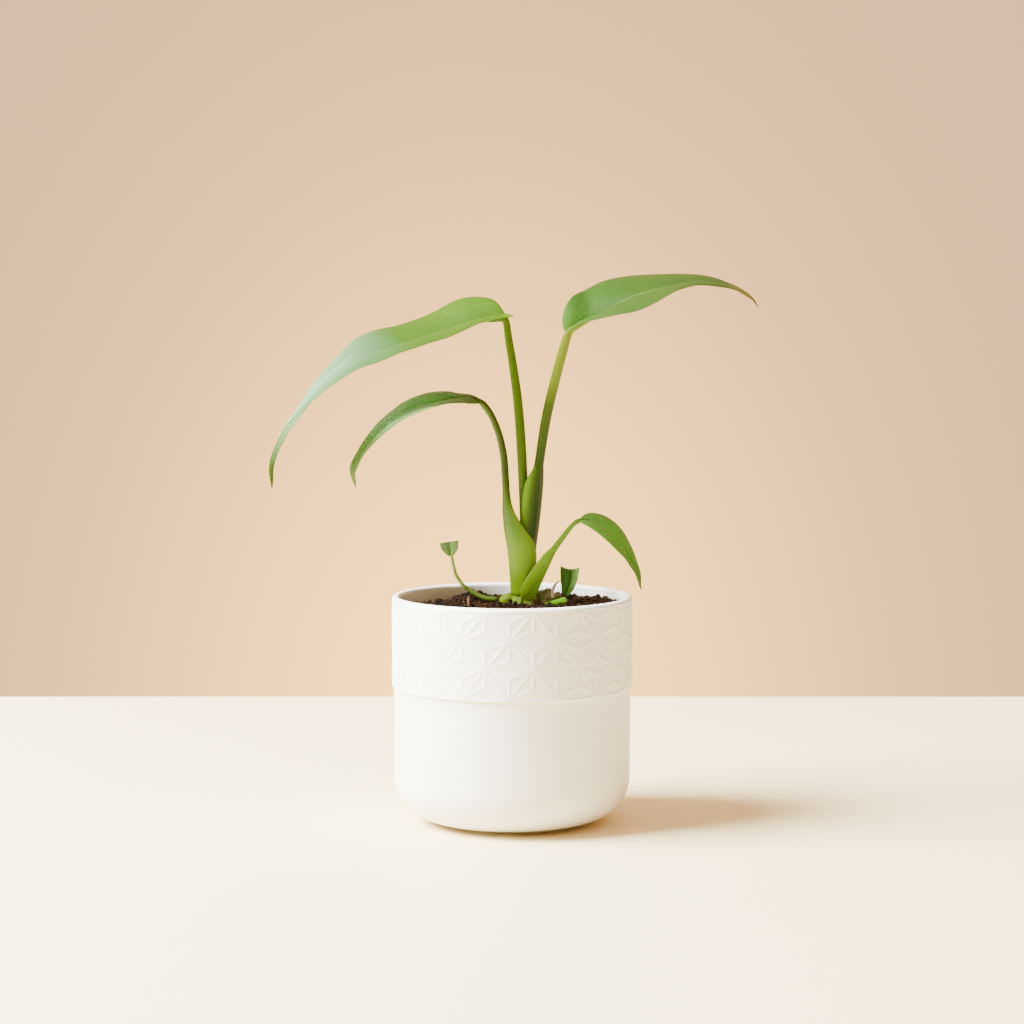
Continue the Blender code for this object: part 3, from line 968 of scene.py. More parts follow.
@dataclass
class SoilBed:
    """The bed of potting mix, its crumbs and the fibres in it."""

    crown_rise: float = 2.6
    slope: float = 0.032
    mounds: tuple[Mound, ...] = (
        Mound(-23.0, 23.0, 5.2, 7.0),
        Mound(25.0, 20.0, 1.0, 9.0),
        Mound(-4.0, 26.0, 0.8, 8.0),
    )
    rings: int = 90
    columns: int = 256
    crumbs: int = 3900
    chunks: int = 900
    lump_stretch: Point = (0.55, 1.25)
    lump_dents: float = 0.4
    lump_rise: float = 0.25
    lump_tone: Point = (0.52, 0.17)
    fibres: int = 46
    fibre_radius: float = 0.16
    keep_clear: tuple[float, float, float, float] = (12.0, 3.0, 17.0, 6.0)
    unevenness: tuple[Point, ...] = ((0.7, 6.5), (0.5, 2.6), (0.35, 1.2))
    sink: float = 0.5
    seed: int = 11

    def __post_init__(self) -> None:
        """Takes the bed's radius and lowest point from the frame."""
        low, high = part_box("soil")
        self.radius = high.x / MM + 0.15
        self.bottom = low.z / MM

    def height(self, x: np.ndarray, y: np.ndarray) -> np.ndarray:
        """Height of the bed above its level.

        Args:
            x: Places from the planter's axis in millimetres.
            y: The same, towards the back.

        Returns:
            A low dome, rise (1 - r^2 / R^2), on a slight slope, with the mounds,
            height exp(-d^2 / 2 spread^2), and three noises of heights and cell sizes.
        """
        rise = self.crown_rise * (1 - (x * x + y * y) / self.radius**2) + self.slope * x
        for mound in self.mounds:
            away = (x - mound.x) ** 2 + (y - mound.y) ** 2
            rise = rise + mound.height * np.exp(-away / (2 * mound.spread**2))
        place = np.stack([x, y, np.zeros_like(x)], axis=-1)
        for seed, (rough, cell) in enumerate(self.unevenness, start=3):
            rise = rise + rough * value_noise(place, cell, seed)
        return rise - self.sink

    def build_bed(self) -> bpy.types.Object:
        """Builds the bed.

        Returns:
            The piece: a polar grid of heights, closed down the planter's inside.
        """
        angles = turns(self.columns)
        radii = self.radius * np.arange(1, self.rings + 1) / self.rings
        top = turned(radii[:, None], np.zeros((self.rings, 1)), angles)
        top[..., 2] = self.height(top[..., 0], top[..., 1]) + soil_level()
        side = np.array(
            [
                (self.radius, 80.0),
                (self.radius, 30.0),
                (55.0, 14.0),
                (44.0, self.bottom + 1.0),
                (20.0, self.bottom + 0.2),
            ]
        )
        rings = np.vstack([top, turned(side[:, :1], side[:, 1:], angles)])
        tone = 0.42 + 0.2 * layered_noise(rings, 3.0, 8)
        obj = closed_tube("soil_bed", rings * MM, {"tone": tone})
        return finish_piece(obj, PottingMix("potting_mix_bed").material(), Slot.SOIL, ["soil"])

    def places(self, count: int, margin: float, rng: np.random.Generator) -> np.ndarray:
        """Random places on the bed.

        Args:
            count: How many.
            margin: How far they stay from the planter's wall.
            rng: Where the random numbers come from.

        Returns:
            Rows of X and Y, even over the bed's area and clear of the crown.
        """
        spots = np.empty((0, 2))
        while len(spots) < count:
            turn = rng.uniform(0, 2 * math.pi, 2 * count)
            reach = (self.radius - margin) * np.sqrt(rng.uniform(0, 1, 2 * count))
            tried = np.stack([reach * np.cos(turn), reach * np.sin(turn)], axis=1)
            x, y, wide, deep = self.keep_clear
            outside = ((tried[:, 0] - x) / wide) ** 2 + ((tried[:, 1] - y) / deep) ** 2 > 1
            spots = np.vstack([spots, tried[outside]])
        return spots[:count]

    def lump(self) -> tuple[np.ndarray, np.ndarray, np.ndarray]:
        """A unit ball of 32 faces: three rings of eight points and two poles.

        Returns:
            Its points, its quads and its triangles.
        """
        around, levels = 8, 3
        tilt = (np.linspace(-0.5, 0.5, levels) * math.pi * 0.52)[:, None]
        rings = turned(np.cos(tilt), np.sin(tilt), turns(around))
        points = np.vstack([rings.reshape(-1, 3), [(0, 0, -1), (0, 0, 1)]])
        step = np.arange(around)
        after = (step + 1) % around
        last = (levels - 1) * around
        bottom = np.stack([after, step, np.full(around, levels * around)], axis=1)
        top = np.stack([last + step, last + after, np.full(around, levels * around + 1)], axis=1)
        return points, grid_faces(levels, around, True), np.vstack([bottom, top])

    def build_lumps(self, name: str, count: int, sizes: Point, seed: int) -> bpy.types.Object:
        """Loose lumps of mix strewn over the bed, joined in one piece.

        Args:
            name: The piece's name.
            count: How many lumps.
            sizes: The smallest and largest radius; small ones are commoner, as the square of a
                random share.
            seed: Which draw to use.

        Returns:
            The piece. Each lump is a ball scaled by three random radii, dented at random, turned at
            random and set a quarter of its size above the bed.
        """
        rng = np.random.default_rng(seed)
        ball, quads, triangles = self.lump()
        size = sizes[0] + (sizes[1] - sizes[0]) * rng.uniform(0, 1, count) ** 2
        spots = self.places(count, sizes[1], rng)
        scale = size[:, None] * rng.uniform(*self.lump_stretch, (count, 3))
        dents = 1 + self.lump_dents * rng.uniform(-1, 1, (count, len(ball), 1))
        shapes = ball[None] * dents * scale[:, None]
        axes = np.linalg.qr(rng.normal(size=(count, 3, 3)))[0]
        shapes = np.einsum("nij,npj->npi", axes, shapes)
        base = np.stack([spots[:, 0], spots[:, 1], self.height(spots[:, 0], spots[:, 1])], axis=1)
        base[:, 2] += self.lump_rise * size
        points = on_soil((shapes + base[:, None]).reshape(-1, 3))
        shift = (np.arange(count) * len(ball))[:, None, None]
        mirrored = (np.linalg.det(axes) < 0)[:, None, None]
        faces = []
        for corners in (quads, triangles):
            rows = np.where(mirrored, corners[:, ::-1], corners) + shift
            faces.append(rows.reshape(-1, corners.shape[1]))
        obj = new_mesh(name, points, faces)
        obj.data.shade_flat()
        tone = np.repeat(np.clip(rng.normal(*self.lump_tone, count), 0.05, 0.97), len(ball))
        add_number(obj, "tone", tone)
        return finish_piece(obj, PottingMix(name + "_mix").material(), Slot.SOIL)

    def build_fibres(self) -> bpy.types.Object:
        """Builds thin coir fibres that lie on the bed.

        Returns:
            The piece. Each fibre is a five-sided tube along a gently bent line that rises in its middle.
        """
        rng = np.random.default_rng(self.seed + 2)
        rows, sides = 12, 5
        spots = self.places(self.fibres, 6.0, rng)
        heading = rng.uniform(0, 2 * math.pi, self.fibres)
        length = rng.uniform(4.0, 13.0, self.fibres)
        bend = rng.uniform(-1.2, 1.2, self.fibres)
        share = np.linspace(-0.5, 0.5, rows)
        turn = heading[:, None] + bend[:, None] * share
        x = spots[:, :1] + length[:, None] * share * np.cos(turn)
        y = spots[:, 1:] + length[:, None] * share * np.sin(turn)
        z = self.height(x, y) + 0.5 + rng.uniform(0.2, 1.4, (self.fibres, 1)) * (0.25 - share**2) * 3
        line = np.stack([x, y, z], axis=-1)
        side, other = square_frame(line, (0.0, 0.0, 1.0))
        around = turns(sides)[:, None]
        thick = self.fibre_radius * np.sqrt(np.clip(1 - (2 * share) ** 6, 0.05, 1))
        ring = np.cos(around) * side[:, :, None] + np.sin(around) * other[:, :, None]
        tubes = line[:, :, None] + thick[:, None, None] * ring
        points = on_soil(tubes.reshape(-1, 3))
        quads = grid_faces(rows, sides, True)
        caps = np.array([list(range(sides))[::-1], list(range((rows - 1) * sides, rows * sides))])
        fans = np.vstack([[(c[0], c[i], c[i + 1]) for i in range(1, sides - 1)] for c in caps])
        shift = (np.arange(self.fibres) * rows * sides)[:, None, None]
        faces = [(quads[None] + shift).reshape(-1, 4), (fans[None] + shift).reshape(-1, 3)]
        obj = new_mesh("soil_fibres", points, faces)
        add_number(obj, "tone", np.repeat(rng.uniform(0.75, 1.0, self.fibres), rows * sides))
        return finish_piece(obj, PottingMix("fibre_mix").material(), Slot.SOIL)

    def build(self) -> list[bpy.types.Object]:
        """Builds the soil.

        Returns:
            The crumbs, the chunks, the bed and the fibres.
        """
        crumbs = self.build_lumps("soil_crumbs", self.crumbs, (0.3, 0.95), self.seed)
        chunks = self.build_lumps("soil_chunks", self.chunks, (0.8, 1.9), self.seed + 1)
        return [self.build_bed(), crumbs, chunks, self.build_fibres()]


# ---------------------------------------------------------------- crown


@dataclass(frozen=True)
class Knob:
    """An ellipsoid lump of the crown: its centre, its radii and how corky it is, from 0 to 1."""

    centre: tuple[float, float, float]
    radii: tuple[float, float, float]
    cork: float


@dataclass
class Crown:
    """The stub under the shoot with its knobs, melted into one lumpy body."""

    x: float = 7.0
    y: float = 2.0
    top: float = 7.4
    depth: float = 15.5
    foot_radius: float = 5.0
    top_radius: float = 8.6
    knobs: tuple[Knob, ...] = (
        Knob((-2.6, 0.2, 4.0), (4.2, 4.4, 4.0), 0.05),
        Knob((18.6, 2.6, 4.2), (7.0, 4.8, 5.6), 0.75),
        Knob((26.5, 3.0, 1.6), (4.8, 4.4, 4.2), 0.9),
        Knob((14.8, 0.6, 7.6), (2.8, 2.2, 2.2), 0.6),
        Knob((19.8, 1.8, 8.4), (2.8, 2.2, 2.2), 1.0),
        Knob((24.2, 2.4, 6.0), (2.4, 2.2, 2.0), 0.8),
        Knob((17.6, -1.4, 2.6), (2.6, 1.8, 2.4), 0.9),
        Knob((3.0, -4.6, 2.4), (3.4, 2.6, 2.6), 0.3),
        Knob((0.4, -1.4, 4.4), (2.4, 2.2, 2.0), 0.25),
        Knob((9.6, -5.4, 2.8), (3.0, 2.4, 2.4), 0.5),
    )
    voxel: float = 0.55
    stub_cork: float = 0.35
    cork_spread: float = 12.0
    roughness: float = 0.65
    lump_size: float = 2.6
    skin: CorkSkin = CorkSkin()

    def rough_shape(self) -> bpy.types.Object:
        """The stub and the knobs before they are melted.

        Returns:
            Overlapping closed skins in one mesh: an ellipsoid for each knob, and a cone with a
            rounded top.
        """
        rings, angles = 24, turns(40)
        tilt = (np.linspace(-0.5, 0.5, rings + 2)[1:-1] * math.pi)[:, None]
        ball = turned(np.cos(tilt), np.sin(tilt), angles)
        skins = [ball * np.array(knob.radii) + np.array(knob.centre) for knob in self.knobs]
        share = np.linspace(0, 1, rings)[:, None]
        radius = self.foot_radius + (self.top_radius - self.foot_radius) * share
        radius = radius * np.sqrt(np.clip(1 - share**24, 0.02, 1))
        stub = turned(radius, self.top - self.depth * (1 - share), angles)
        skins.append(stub + (self.x, self.y, 0.0))
        parts = [closed_tube(f"crown_rough_{i}", on_soil(skin), {}) for i, skin in enumerate(skins)]
        whole = bmesh.new()
        for part in parts:
            whole.from_mesh(part.data)
            bpy.data.objects.remove(part)
        mesh = bpy.data.meshes.new("crown_rough")
        whole.to_mesh(mesh)
        whole.free()
        return placed("crown_rough", mesh)

    def build(self) -> bpy.types.Object:
        """The crown: the rough shape remade as one skin, smoothed and roughened by noise.

        Returns:
            The piece. Its skin moves along its normals by noise, and its age, from
            0 for young growth to 1 for cork, is the knobs' cork weighted by exp(-d^2 / spread).
        """
        rough = self.rough_shape()
        melt = rough.modifiers.new("melt", "REMESH")
        melt.mode = "VOXEL"
        melt.voxel_size = self.voxel * MM
        soften = rough.modifiers.new("soften", "SMOOTH")
        soften.iterations = 5
        soften.factor = 0.6
        bpy.context.view_layer.update()
        graph = bpy.context.evaluated_depsgraph_get()
        mesh = bpy.data.meshes.new_from_object(rough.evaluated_get(graph))
        bpy.data.objects.remove(rough)
        count = len(mesh.vertices)
        points, normals = np.empty(count * 3, np.float32), np.empty(count * 3, np.float32)
        mesh.vertices.foreach_get("co", points)
        mesh.vertices.foreach_get("normal", normals)
        points, normals = points.reshape(-1, 3) / MM, normals.reshape(-1, 3)
        points = points + normals * (self.roughness * layered_noise(points, self.lump_size, 21))[:, None]
        mesh.vertices.foreach_set("co", (points * MM).astype(np.float32).ravel())
        mesh.shade_smooth()
        obj = placed("crown_knobs", mesh)
        local = points - (0.0, 0.0, soil_level())
        middles = np.array([knob.centre for knob in self.knobs] + [(self.x, self.y, 2.0)])
        corks = np.array([knob.cork for knob in self.knobs] + [self.stub_cork])
        away = ((local[:, None] - middles[None]) ** 2).sum(axis=-1)
        weight = np.exp(-away / self.cork_spread) + 1e-6
        add_number(obj, "age", (weight * corks).sum(axis=1) / weight.sum(axis=1))
        return finish_piece(obj, self.skin.material(), Slot.CROWN, ["crown"])


# ---------------------------------------------------------------- stalks


@dataclass(frozen=True)
class Stalk:
    """A leaf stalk whose foot is a sheath wrapped round the shoot's axis.

    A row is its centre, half its thickness, half its width round the shoot, and the wrap radius. A
    row of four numbers is round: its centre and its radius.
    """

    name: str
    layer: int
    facing: float
    half_thickness: float
    wing: float
    rows: tuple[tuple[float, ...], ...]
    skin: StalkSkin
    knee: float = 0.12


@dataclass
class Shoot:
    """The stalks nested round one axis, each in the sheath of the next older leaf."""

    stalks: tuple[Stalk, ...]
    x: float = 7.0
    y: float = 2.0
    foot: float = 7.2
    full: float = 29.0
    first_full: float = 11.2
    foot_taper: float = 0.8
    gap: float = 0.5
    around: int = 36
    rows_per_step: int = 10
    rows_in_blade: int = 3
    round_wrap: float = 40.0
    core_wrap: float = 10.0
    knee_length: float = 0.05
    tip_length: float = 0.015

    def wrap_radii(self, taper: float) -> list[float]:
        """How far out each layer of the shoot lies.

        Args:
            taper: How much the stalks are drawn in.

        Returns:
            The middle radius of each, from the innermost stalk outwards.
        """
        radii = [0.0]
        outside = self.stalks[0].half_thickness * taper
        for stalk in self.stalks[1:]:
            half = stalk.half_thickness * taper
            radii.append(outside + self.gap + half)
            outside += self.gap + 2 * half
        return radii

    def wrapped_row(self, stalk: Stalk, height: float, taper: float) -> tuple[float, ...]:
        """A stalk's row low on the shoot, where it lies in its own layer round the axis.

        Args:
            stalk: The stalk.
            height: The row's height in millimetres.
            taper: How much the stalk is drawn in there.

        Returns:
            The row, with the layer's own radius as its wrap.
        """
        radius = self.wrap_radii(taper)[stalk.layer]
        angle = math.radians(stalk.facing)
        wrap = radius if stalk.layer else stalk.half_thickness * self.core_wrap
        place = (self.x + radius * math.cos(angle), self.y + radius * math.sin(angle), height)
        return place + (stalk.half_thickness * taper, stalk.wing * taper, wrap)

    def build_stalk(self, stalk: Stalk) -> bpy.types.Object:
        """One stalk, skinned over its sections.

        Args:
            stalk: The stalk to build.

        Returns:
            The piece. A section is an ellipse bent round the axis: at turn t it stands wrap + half
            sin t from the axis, at the angle wing cos t / wrap, so it opens into a round rod where
            the wrap radius is large. It swells a little at the knee under the blade, and its last
            rows run on below the blade's midrib and close round.
        """
        top = self.first_full if stalk.layer == len(self.stalks) - 1 else self.full
        rows = [self.wrapped_row(stalk, self.foot, self.foot_taper), self.wrapped_row(stalk, top, 1.0)]
        rows += [row if len(row) > 4 else row + (row[3], self.round_wrap) for row in stalk.rows]
        count = self.rows_per_step * (len(rows) - 1) + 1
        table = smooth_rows(rows, count)
        share = np.linspace(0, 1, count)
        centres = table[:, :3]
        bend_place = 1 - self.rows_in_blade / (len(rows) - 1)
        knee = 1 + stalk.knee * np.exp(-(((share - bend_place) / self.knee_length) ** 2))
        tip = np.clip((share - 1 + self.tip_length) / self.tip_length, 0, 1)
        swell = (knee * np.sqrt(np.clip(1 - tip**2, 0.04, 1)))[:, None]
        halves, wings, wraps = table[:, 3:4] * swell, table[:, 4:5] * swell, table[:, 5:6]
        runs = unit(np.gradient(centres, axis=0))
        runs[0] = (0.0, 0.0, 1.0)
        angle = math.radians(stalk.facing)
        facing = np.broadcast_to((math.cos(angle), math.sin(angle), 0.0), centres.shape)
        out = square_to(facing, runs)
        side = np.cross(runs, out)
        turn = turns(self.around) + math.pi / self.around
        bend = wings * np.cos(turn) / wraps
        reach = wraps + halves * np.sin(turn)
        across = (reach * np.sin(bend))[..., None] * side[:, None]
        depth = (reach * np.cos(bend) - wraps)[..., None] * out[:, None]
        points = centres[:, None] + across + depth
        sheath = np.clip(table[:, 4:5] / table[:, 3:4] - 1, 0, 2) / 2
        wing = sheath * np.abs(np.cos(turn)) ** 3
        along = np.broadcast_to(share[:, None], wing.shape)
        around = np.broadcast_to(np.abs(turn / math.pi - 1)[None], wing.shape)
        numbers = {"along": along, "wing": wing, "around": around}
        obj = closed_tube(stalk.name + "_skin", on_soil(points), numbers)
        return finish_piece(obj, stalk.skin.material(), Slot.STALK, [stalk.name])

    def build(self) -> list[bpy.types.Object]:
        """All the stalks."""
        return [self.build_stalk(stalk) for stalk in self.stalks]


# ---------------------------------------------------------------- blades


@dataclass
class Blade:
    """A leaf blade: two arched halves that meet along the midrib, each at its own pitch.

    A row is a point of the midrib, half the width, and the pitch of the half on the far side and of
    the half on the near side, in degrees above the blade's own plane. A pair of base closings or of
    lobes is the near half's and then the far one's.
    """

    name: str
    turn: Turn
    rows: tuple[tuple[float, ...], ...]
    skin: LeafSkin
    across: tuple[float, float, float] = (0.0, 1.0, 0.0)
    rib_radius: float = 1.6
    thickness: float = 0.5
    edge_thickness: float = 0.14
    arch: float = 0.07
    steps: int = 130
    columns: int = 26
    quilts: float = 13.0
    quilt: float = 0.10
    wave: float = 0.35
    base_close: tuple[float, float] = (0.045, 0.045)
    lobes: tuple[float, float] = (0.0, 0.0)
    lobe_length: float = 0.14
    is_cut: bool = False
    cup: float = 0.0
    seed: int = 5

    def build(self) -> bpy.types.Object:
        """The blade as one closed shell.

        Returns:
            The piece. Its two halves meet along the midrib. The upper skin lies above them by half
            a thickness that thins to the margin, less a shallow groove over the midrib, and the
            under skin lies below by as much plus the midrib's round ridge, both exp(-(d/r)^2). A
            cut end is hollowed by its cup, 1 - share^2.
        """
        table = smooth_rows(self.rows, self.steps)
        ribs, widths = table[:, :3], table[:, 3:4]
        travel = np.concatenate([[0], np.cumsum(np.linalg.norm(np.diff(ribs, axis=0), axis=1))])
        along = (travel / travel[-1])[:, None]
        runs = unit(np.gradient(ribs, axis=0))
        far = square_to(np.broadcast_to(self.across, ribs.shape), runs)
        axes = (runs, far, self.turn.value * np.cross(far, runs))
        shares = (np.arange(1, self.columns + 1) / self.columns) ** 1.5
        near = self.half_sheet(-1, shares[::-1], table, along, axes)
        other = self.half_sheet(1, shares, table, along, axes)
        surface = np.concatenate([near, ribs[:, None], other], axis=1)
        share = np.concatenate([-shares[::-1], [0.0], shares])
        normals = self.surface_normals(surface, axes[2])
        distance = np.abs(share)[None] * widths
        thick = self.edge_thickness + (self.thickness - self.edge_thickness) * (1 - np.abs(share) ** 3)
        tip = np.ones_like(along) if self.is_cut else ramp(1 - along, 0.0, 0.03)
        thick = thick[None] * (0.3 + 0.7 * tip)
        radius = self.rib_radius * (1 - 0.8 * along) * (0.35 + 0.65 * tip)
        ridge = radius * np.exp(-((distance / (0.75 * radius)) ** 2))
        groove = 0.22 * radius * np.exp(-((distance / (0.55 * radius)) ** 2))
        upper = surface + normals * (thick / 2 - groove)[..., None]
        under = surface - normals * (thick / 2 + ridge)[..., None]
        if self.cup:
            dip = self.cup * ramp(along, 0.6, 1.0) * (1 - share[None] ** 2)
            upper = upper - dip[..., None] * runs[:, None]
            under = under - dip[..., None] * runs[:, None]
        rings = np.concatenate([upper, under[:, ::-1]], axis=1)
        across = np.broadcast_to(np.concatenate([share, share[::-1]])[None], rings.shape[:2])
        below = np.broadcast_to(np.repeat([0.0, 1.0], len(share))[None], rings.shape[:2])
        numbers = {"along": np.broadcast_to(along, rings.shape[:2]), "across": across, "under": below}
        obj = closed_tube(self.name + "_skin", on_soil(rings), numbers)
        return finish_piece(obj, self.skin.material(), Slot.LEAF, [self.name])

    def half_sheet(
        self,
        sign: int,
        share: np.ndarray,
        table: np.ndarray,
        along: np.ndarray,
        axes: tuple[np.ndarray, np.ndarray, np.ndarray],
    ) -> np.ndarray:
        """The middle surface of one half.

        Args:
            sign: -1 for the near half and 1 for the far one.
            share: Shares of the half width, in the order that the columns take.
            table: The blade's rows, smoothed.
            along: How far along the midrib each row is, from 0 to 1.
            axes: The directions along the midrib, to the far side and up, for each row.

        Returns:
            A grid of points. Each stands its share of the width along the half's slope and
            arch * 4 share (1 - share) above it, with the relief on top. The half starts as a
            quarter ellipse, and its lobe runs back by lobe * share^1.5 (1 - along / length)^2.
        """
        near, far = 0, 1
        which = near if sign < 0 else far
        runs, side, up = axes
        pitch = np.radians(table[:, 5 - which, None])
        slope = sign * np.cos(pitch) * side + np.sin(pitch) * up
        crest = np.cos(pitch) * up - sign * np.sin(pitch) * side
        begin = np.clip(along / self.base_close[which], 0, 1)
        wide = table[:, 3:4] * np.sqrt(np.clip(1 - (1 - begin) ** 2, 0.002, 1))
        rise = self.arch * 4 * share * (1 - share) * wide + self.relief(along, sign * share)
        out = (share * wide)[..., None] * slope[:, None]
        back = self.lobes[which] * share**1.5 * (1 - np.clip(along / self.lobe_length, 0, 1)) ** 2
        lifted = table[:, None, :3] + out + rise[..., None] * crest[:, None]
        return lifted - back[..., None] * runs[:, None]

    def relief(self, along: np.ndarray, share: np.ndarray) -> np.ndarray:
        """How far the quilting and the margin's waves lift the surface.

        Args:
            along: How far along the midrib each row is, from 0 to 1.
            share: Shares of the half width, negative on the near side.

        Returns:
            Millimetres: a cosine along each side vein, which runs forwards as it goes outwards, and
            noise that grows as share^3, both faded out at the blade's two ends.
        """
        reach = np.abs(share)[None]
        phase = 2 * math.pi * self.quilts * (along - VEIN_SLANT * reach**VEIN_BEND)
        quilting = self.quilt * np.cos(phase) * np.sin(math.pi * np.clip(reach, 0, 1) ** 0.8)
        place = np.stack(np.broadcast_arrays(along * 9.0, share[None] * 1.5, 0.0 * along), axis=-1)
        waves = self.wave * value_noise(place, 1.0, self.seed) * reach**3
        fade = ramp(along, 0.0, 0.08) * ramp(1 - along, 0.0, 0.06)
        return (quilting + waves) * fade

    def surface_normals(self, surface: np.ndarray, up: np.ndarray) -> np.ndarray:
        """Unit normals of a grid.

        Args:
            surface: The grid's points.
            up: A direction for each row, on the side that the normals should point to.

        Returns:
            The cross of the grid's two slopes at each point.
        """
        along, across = np.gradient(surface, axis=0), np.gradient(surface, axis=1)
        normals = unit(np.cross(along, across))
        signs = np.sign((normals * up[:, None]).sum(axis=-1).mean())
        return normals * signs


# ---------------------------------------------------------------- twigs, husk and root


@dataclass
class Twig:
    """A round stem or root along a smooth line, whose radius follows its own rows."""

    name: str
    points: tuple[tuple[float, float, float], ...]
    radii: tuple[float, ...]
    skin: StalkSkin | DrySkin
    slot: Slot
    rough: float = 0.06
    lump_size: float = 2.2
    around: int = 24
    steps: int = 90
    seed: int = 9

    def build(self) -> bpy.types.Object:
        """Builds the stem or root.

        Returns:
            The piece: circles carried along the line, rounded off at its ends and swollen by noise.
        """
        line = smooth_rows(self.points, self.steps)
        radii = smooth_rows(np.array(self.radii)[:, None], self.steps)
        share = np.linspace(0, 1, self.steps)[:, None]
        radii = radii * np.sqrt(np.clip(1 - (2 * np.abs(share - 0.5)) ** 40, 0.05, 1))
        side, other = square_frame(line, (0.13, 1.0, 0.21))
        turn = turns(self.around)
        ring = np.cos(turn)[:, None] * side[:, None] + np.sin(turn)[:, None] * other[:, None]
        place = line[:, None] + ring * radii[:, None]
        uneven = 1 + self.rough * layered_noise(place, self.lump_size, self.seed)
        points = line[:, None] + ring * (radii * uneven)[..., None]
        along = np.broadcast_to(share, points.shape[:2])
        around = np.broadcast_to(np.abs(turn / math.pi - 1)[None], points.shape[:2])
        numbers = {"along": along, "around": around, "wing": np.zeros(points.shape[:2])}
        obj = closed_tube(self.name + "_skin", on_soil(points), numbers)
        return finish_piece(obj, self.skin.material(), self.slot, [self.name])


@dataclass
class CurledHusk:
    """A dry scale curled into an open tube."""

    name: str = "dry_husk"
    points: tuple[tuple[float, float, float], ...] = (
        (22.0, -2.4, 5.6),
        (22.0, -2.2, 9.8),
        (23.2, -2.0, 12.6),
        (25.6, -2.0, 15.2),
    )
    radius: float = 0.85
    wall: float = 0.22
    open_degrees: float = 130.0
    twist: float = 0.9
    around: int = 22
    steps: int = 60
    skin: DrySkin = DrySkin("dry_scale_husk", (0.86, 0.77, 0.60), (0.58, 0.43, 0.28))

    def build(self) -> bpy.types.Object:
        """Builds the husk.

        Returns:
            The piece: an open arc carried along its line, out one way on its outer wall and back inside.
        """
        line = smooth_rows(self.points, self.steps)
        share = np.linspace(0, 1, self.steps)[:, None]
        side, other = square_frame(line, (0.0, -1.0, 0.0))
        half = math.radians(180.0 - self.open_degrees / 2)
        turn = np.linspace(-half, half, self.around)[None]
        around = np.concatenate([turn, turn[:, ::-1]], axis=1) / math.pi
        turn = turn + self.twist * share
        taper = self.radius * (0.55 + 0.45 * np.sin(math.pi * np.clip(share * 0.9 + 0.1, 0, 1)))
        taper = taper * (1 - 0.55 * ramp(share, 0.75, 1.0))
        outer = self.arc_points(line, side, other, turn, taper)
        inner = self.arc_points(line, side, other, turn, taper - self.wall)
        rings = np.concatenate([outer, inner[:, ::-1]], axis=1)
        along = np.broadcast_to(share, rings.shape[:2])
        around = np.broadcast_to(around, rings.shape[:2])
        obj = closed_tube(self.name + "_curl", on_soil(rings), {"along": along, "around": around})
        return finish_piece(obj, self.skin.material(), Slot.DRY, [self.name])

    def arc_points(
        self, line: np.ndarray, side: np.ndarray, other: np.ndarray, turn: np.ndarray, radius: np.ndarray
    ) -> np.ndarray:
        """Points round a line.

        Args:
            line: The line's points.
            side: A direction square to the line at each of them.
            other: The direction square to both.
            turn: The angles from side towards other.
            radius: How far out the points stand.

        Returns:
            A row of points for each point of the line: radius (cos side + sin other).
        """
        first = (radius * np.cos(turn))[..., None] * side[:, None]
        second = (radius * np.sin(turn))[..., None] * other[:, None]
        return line[:, None] + first + second


# ---------------------------------------------------------------- studio


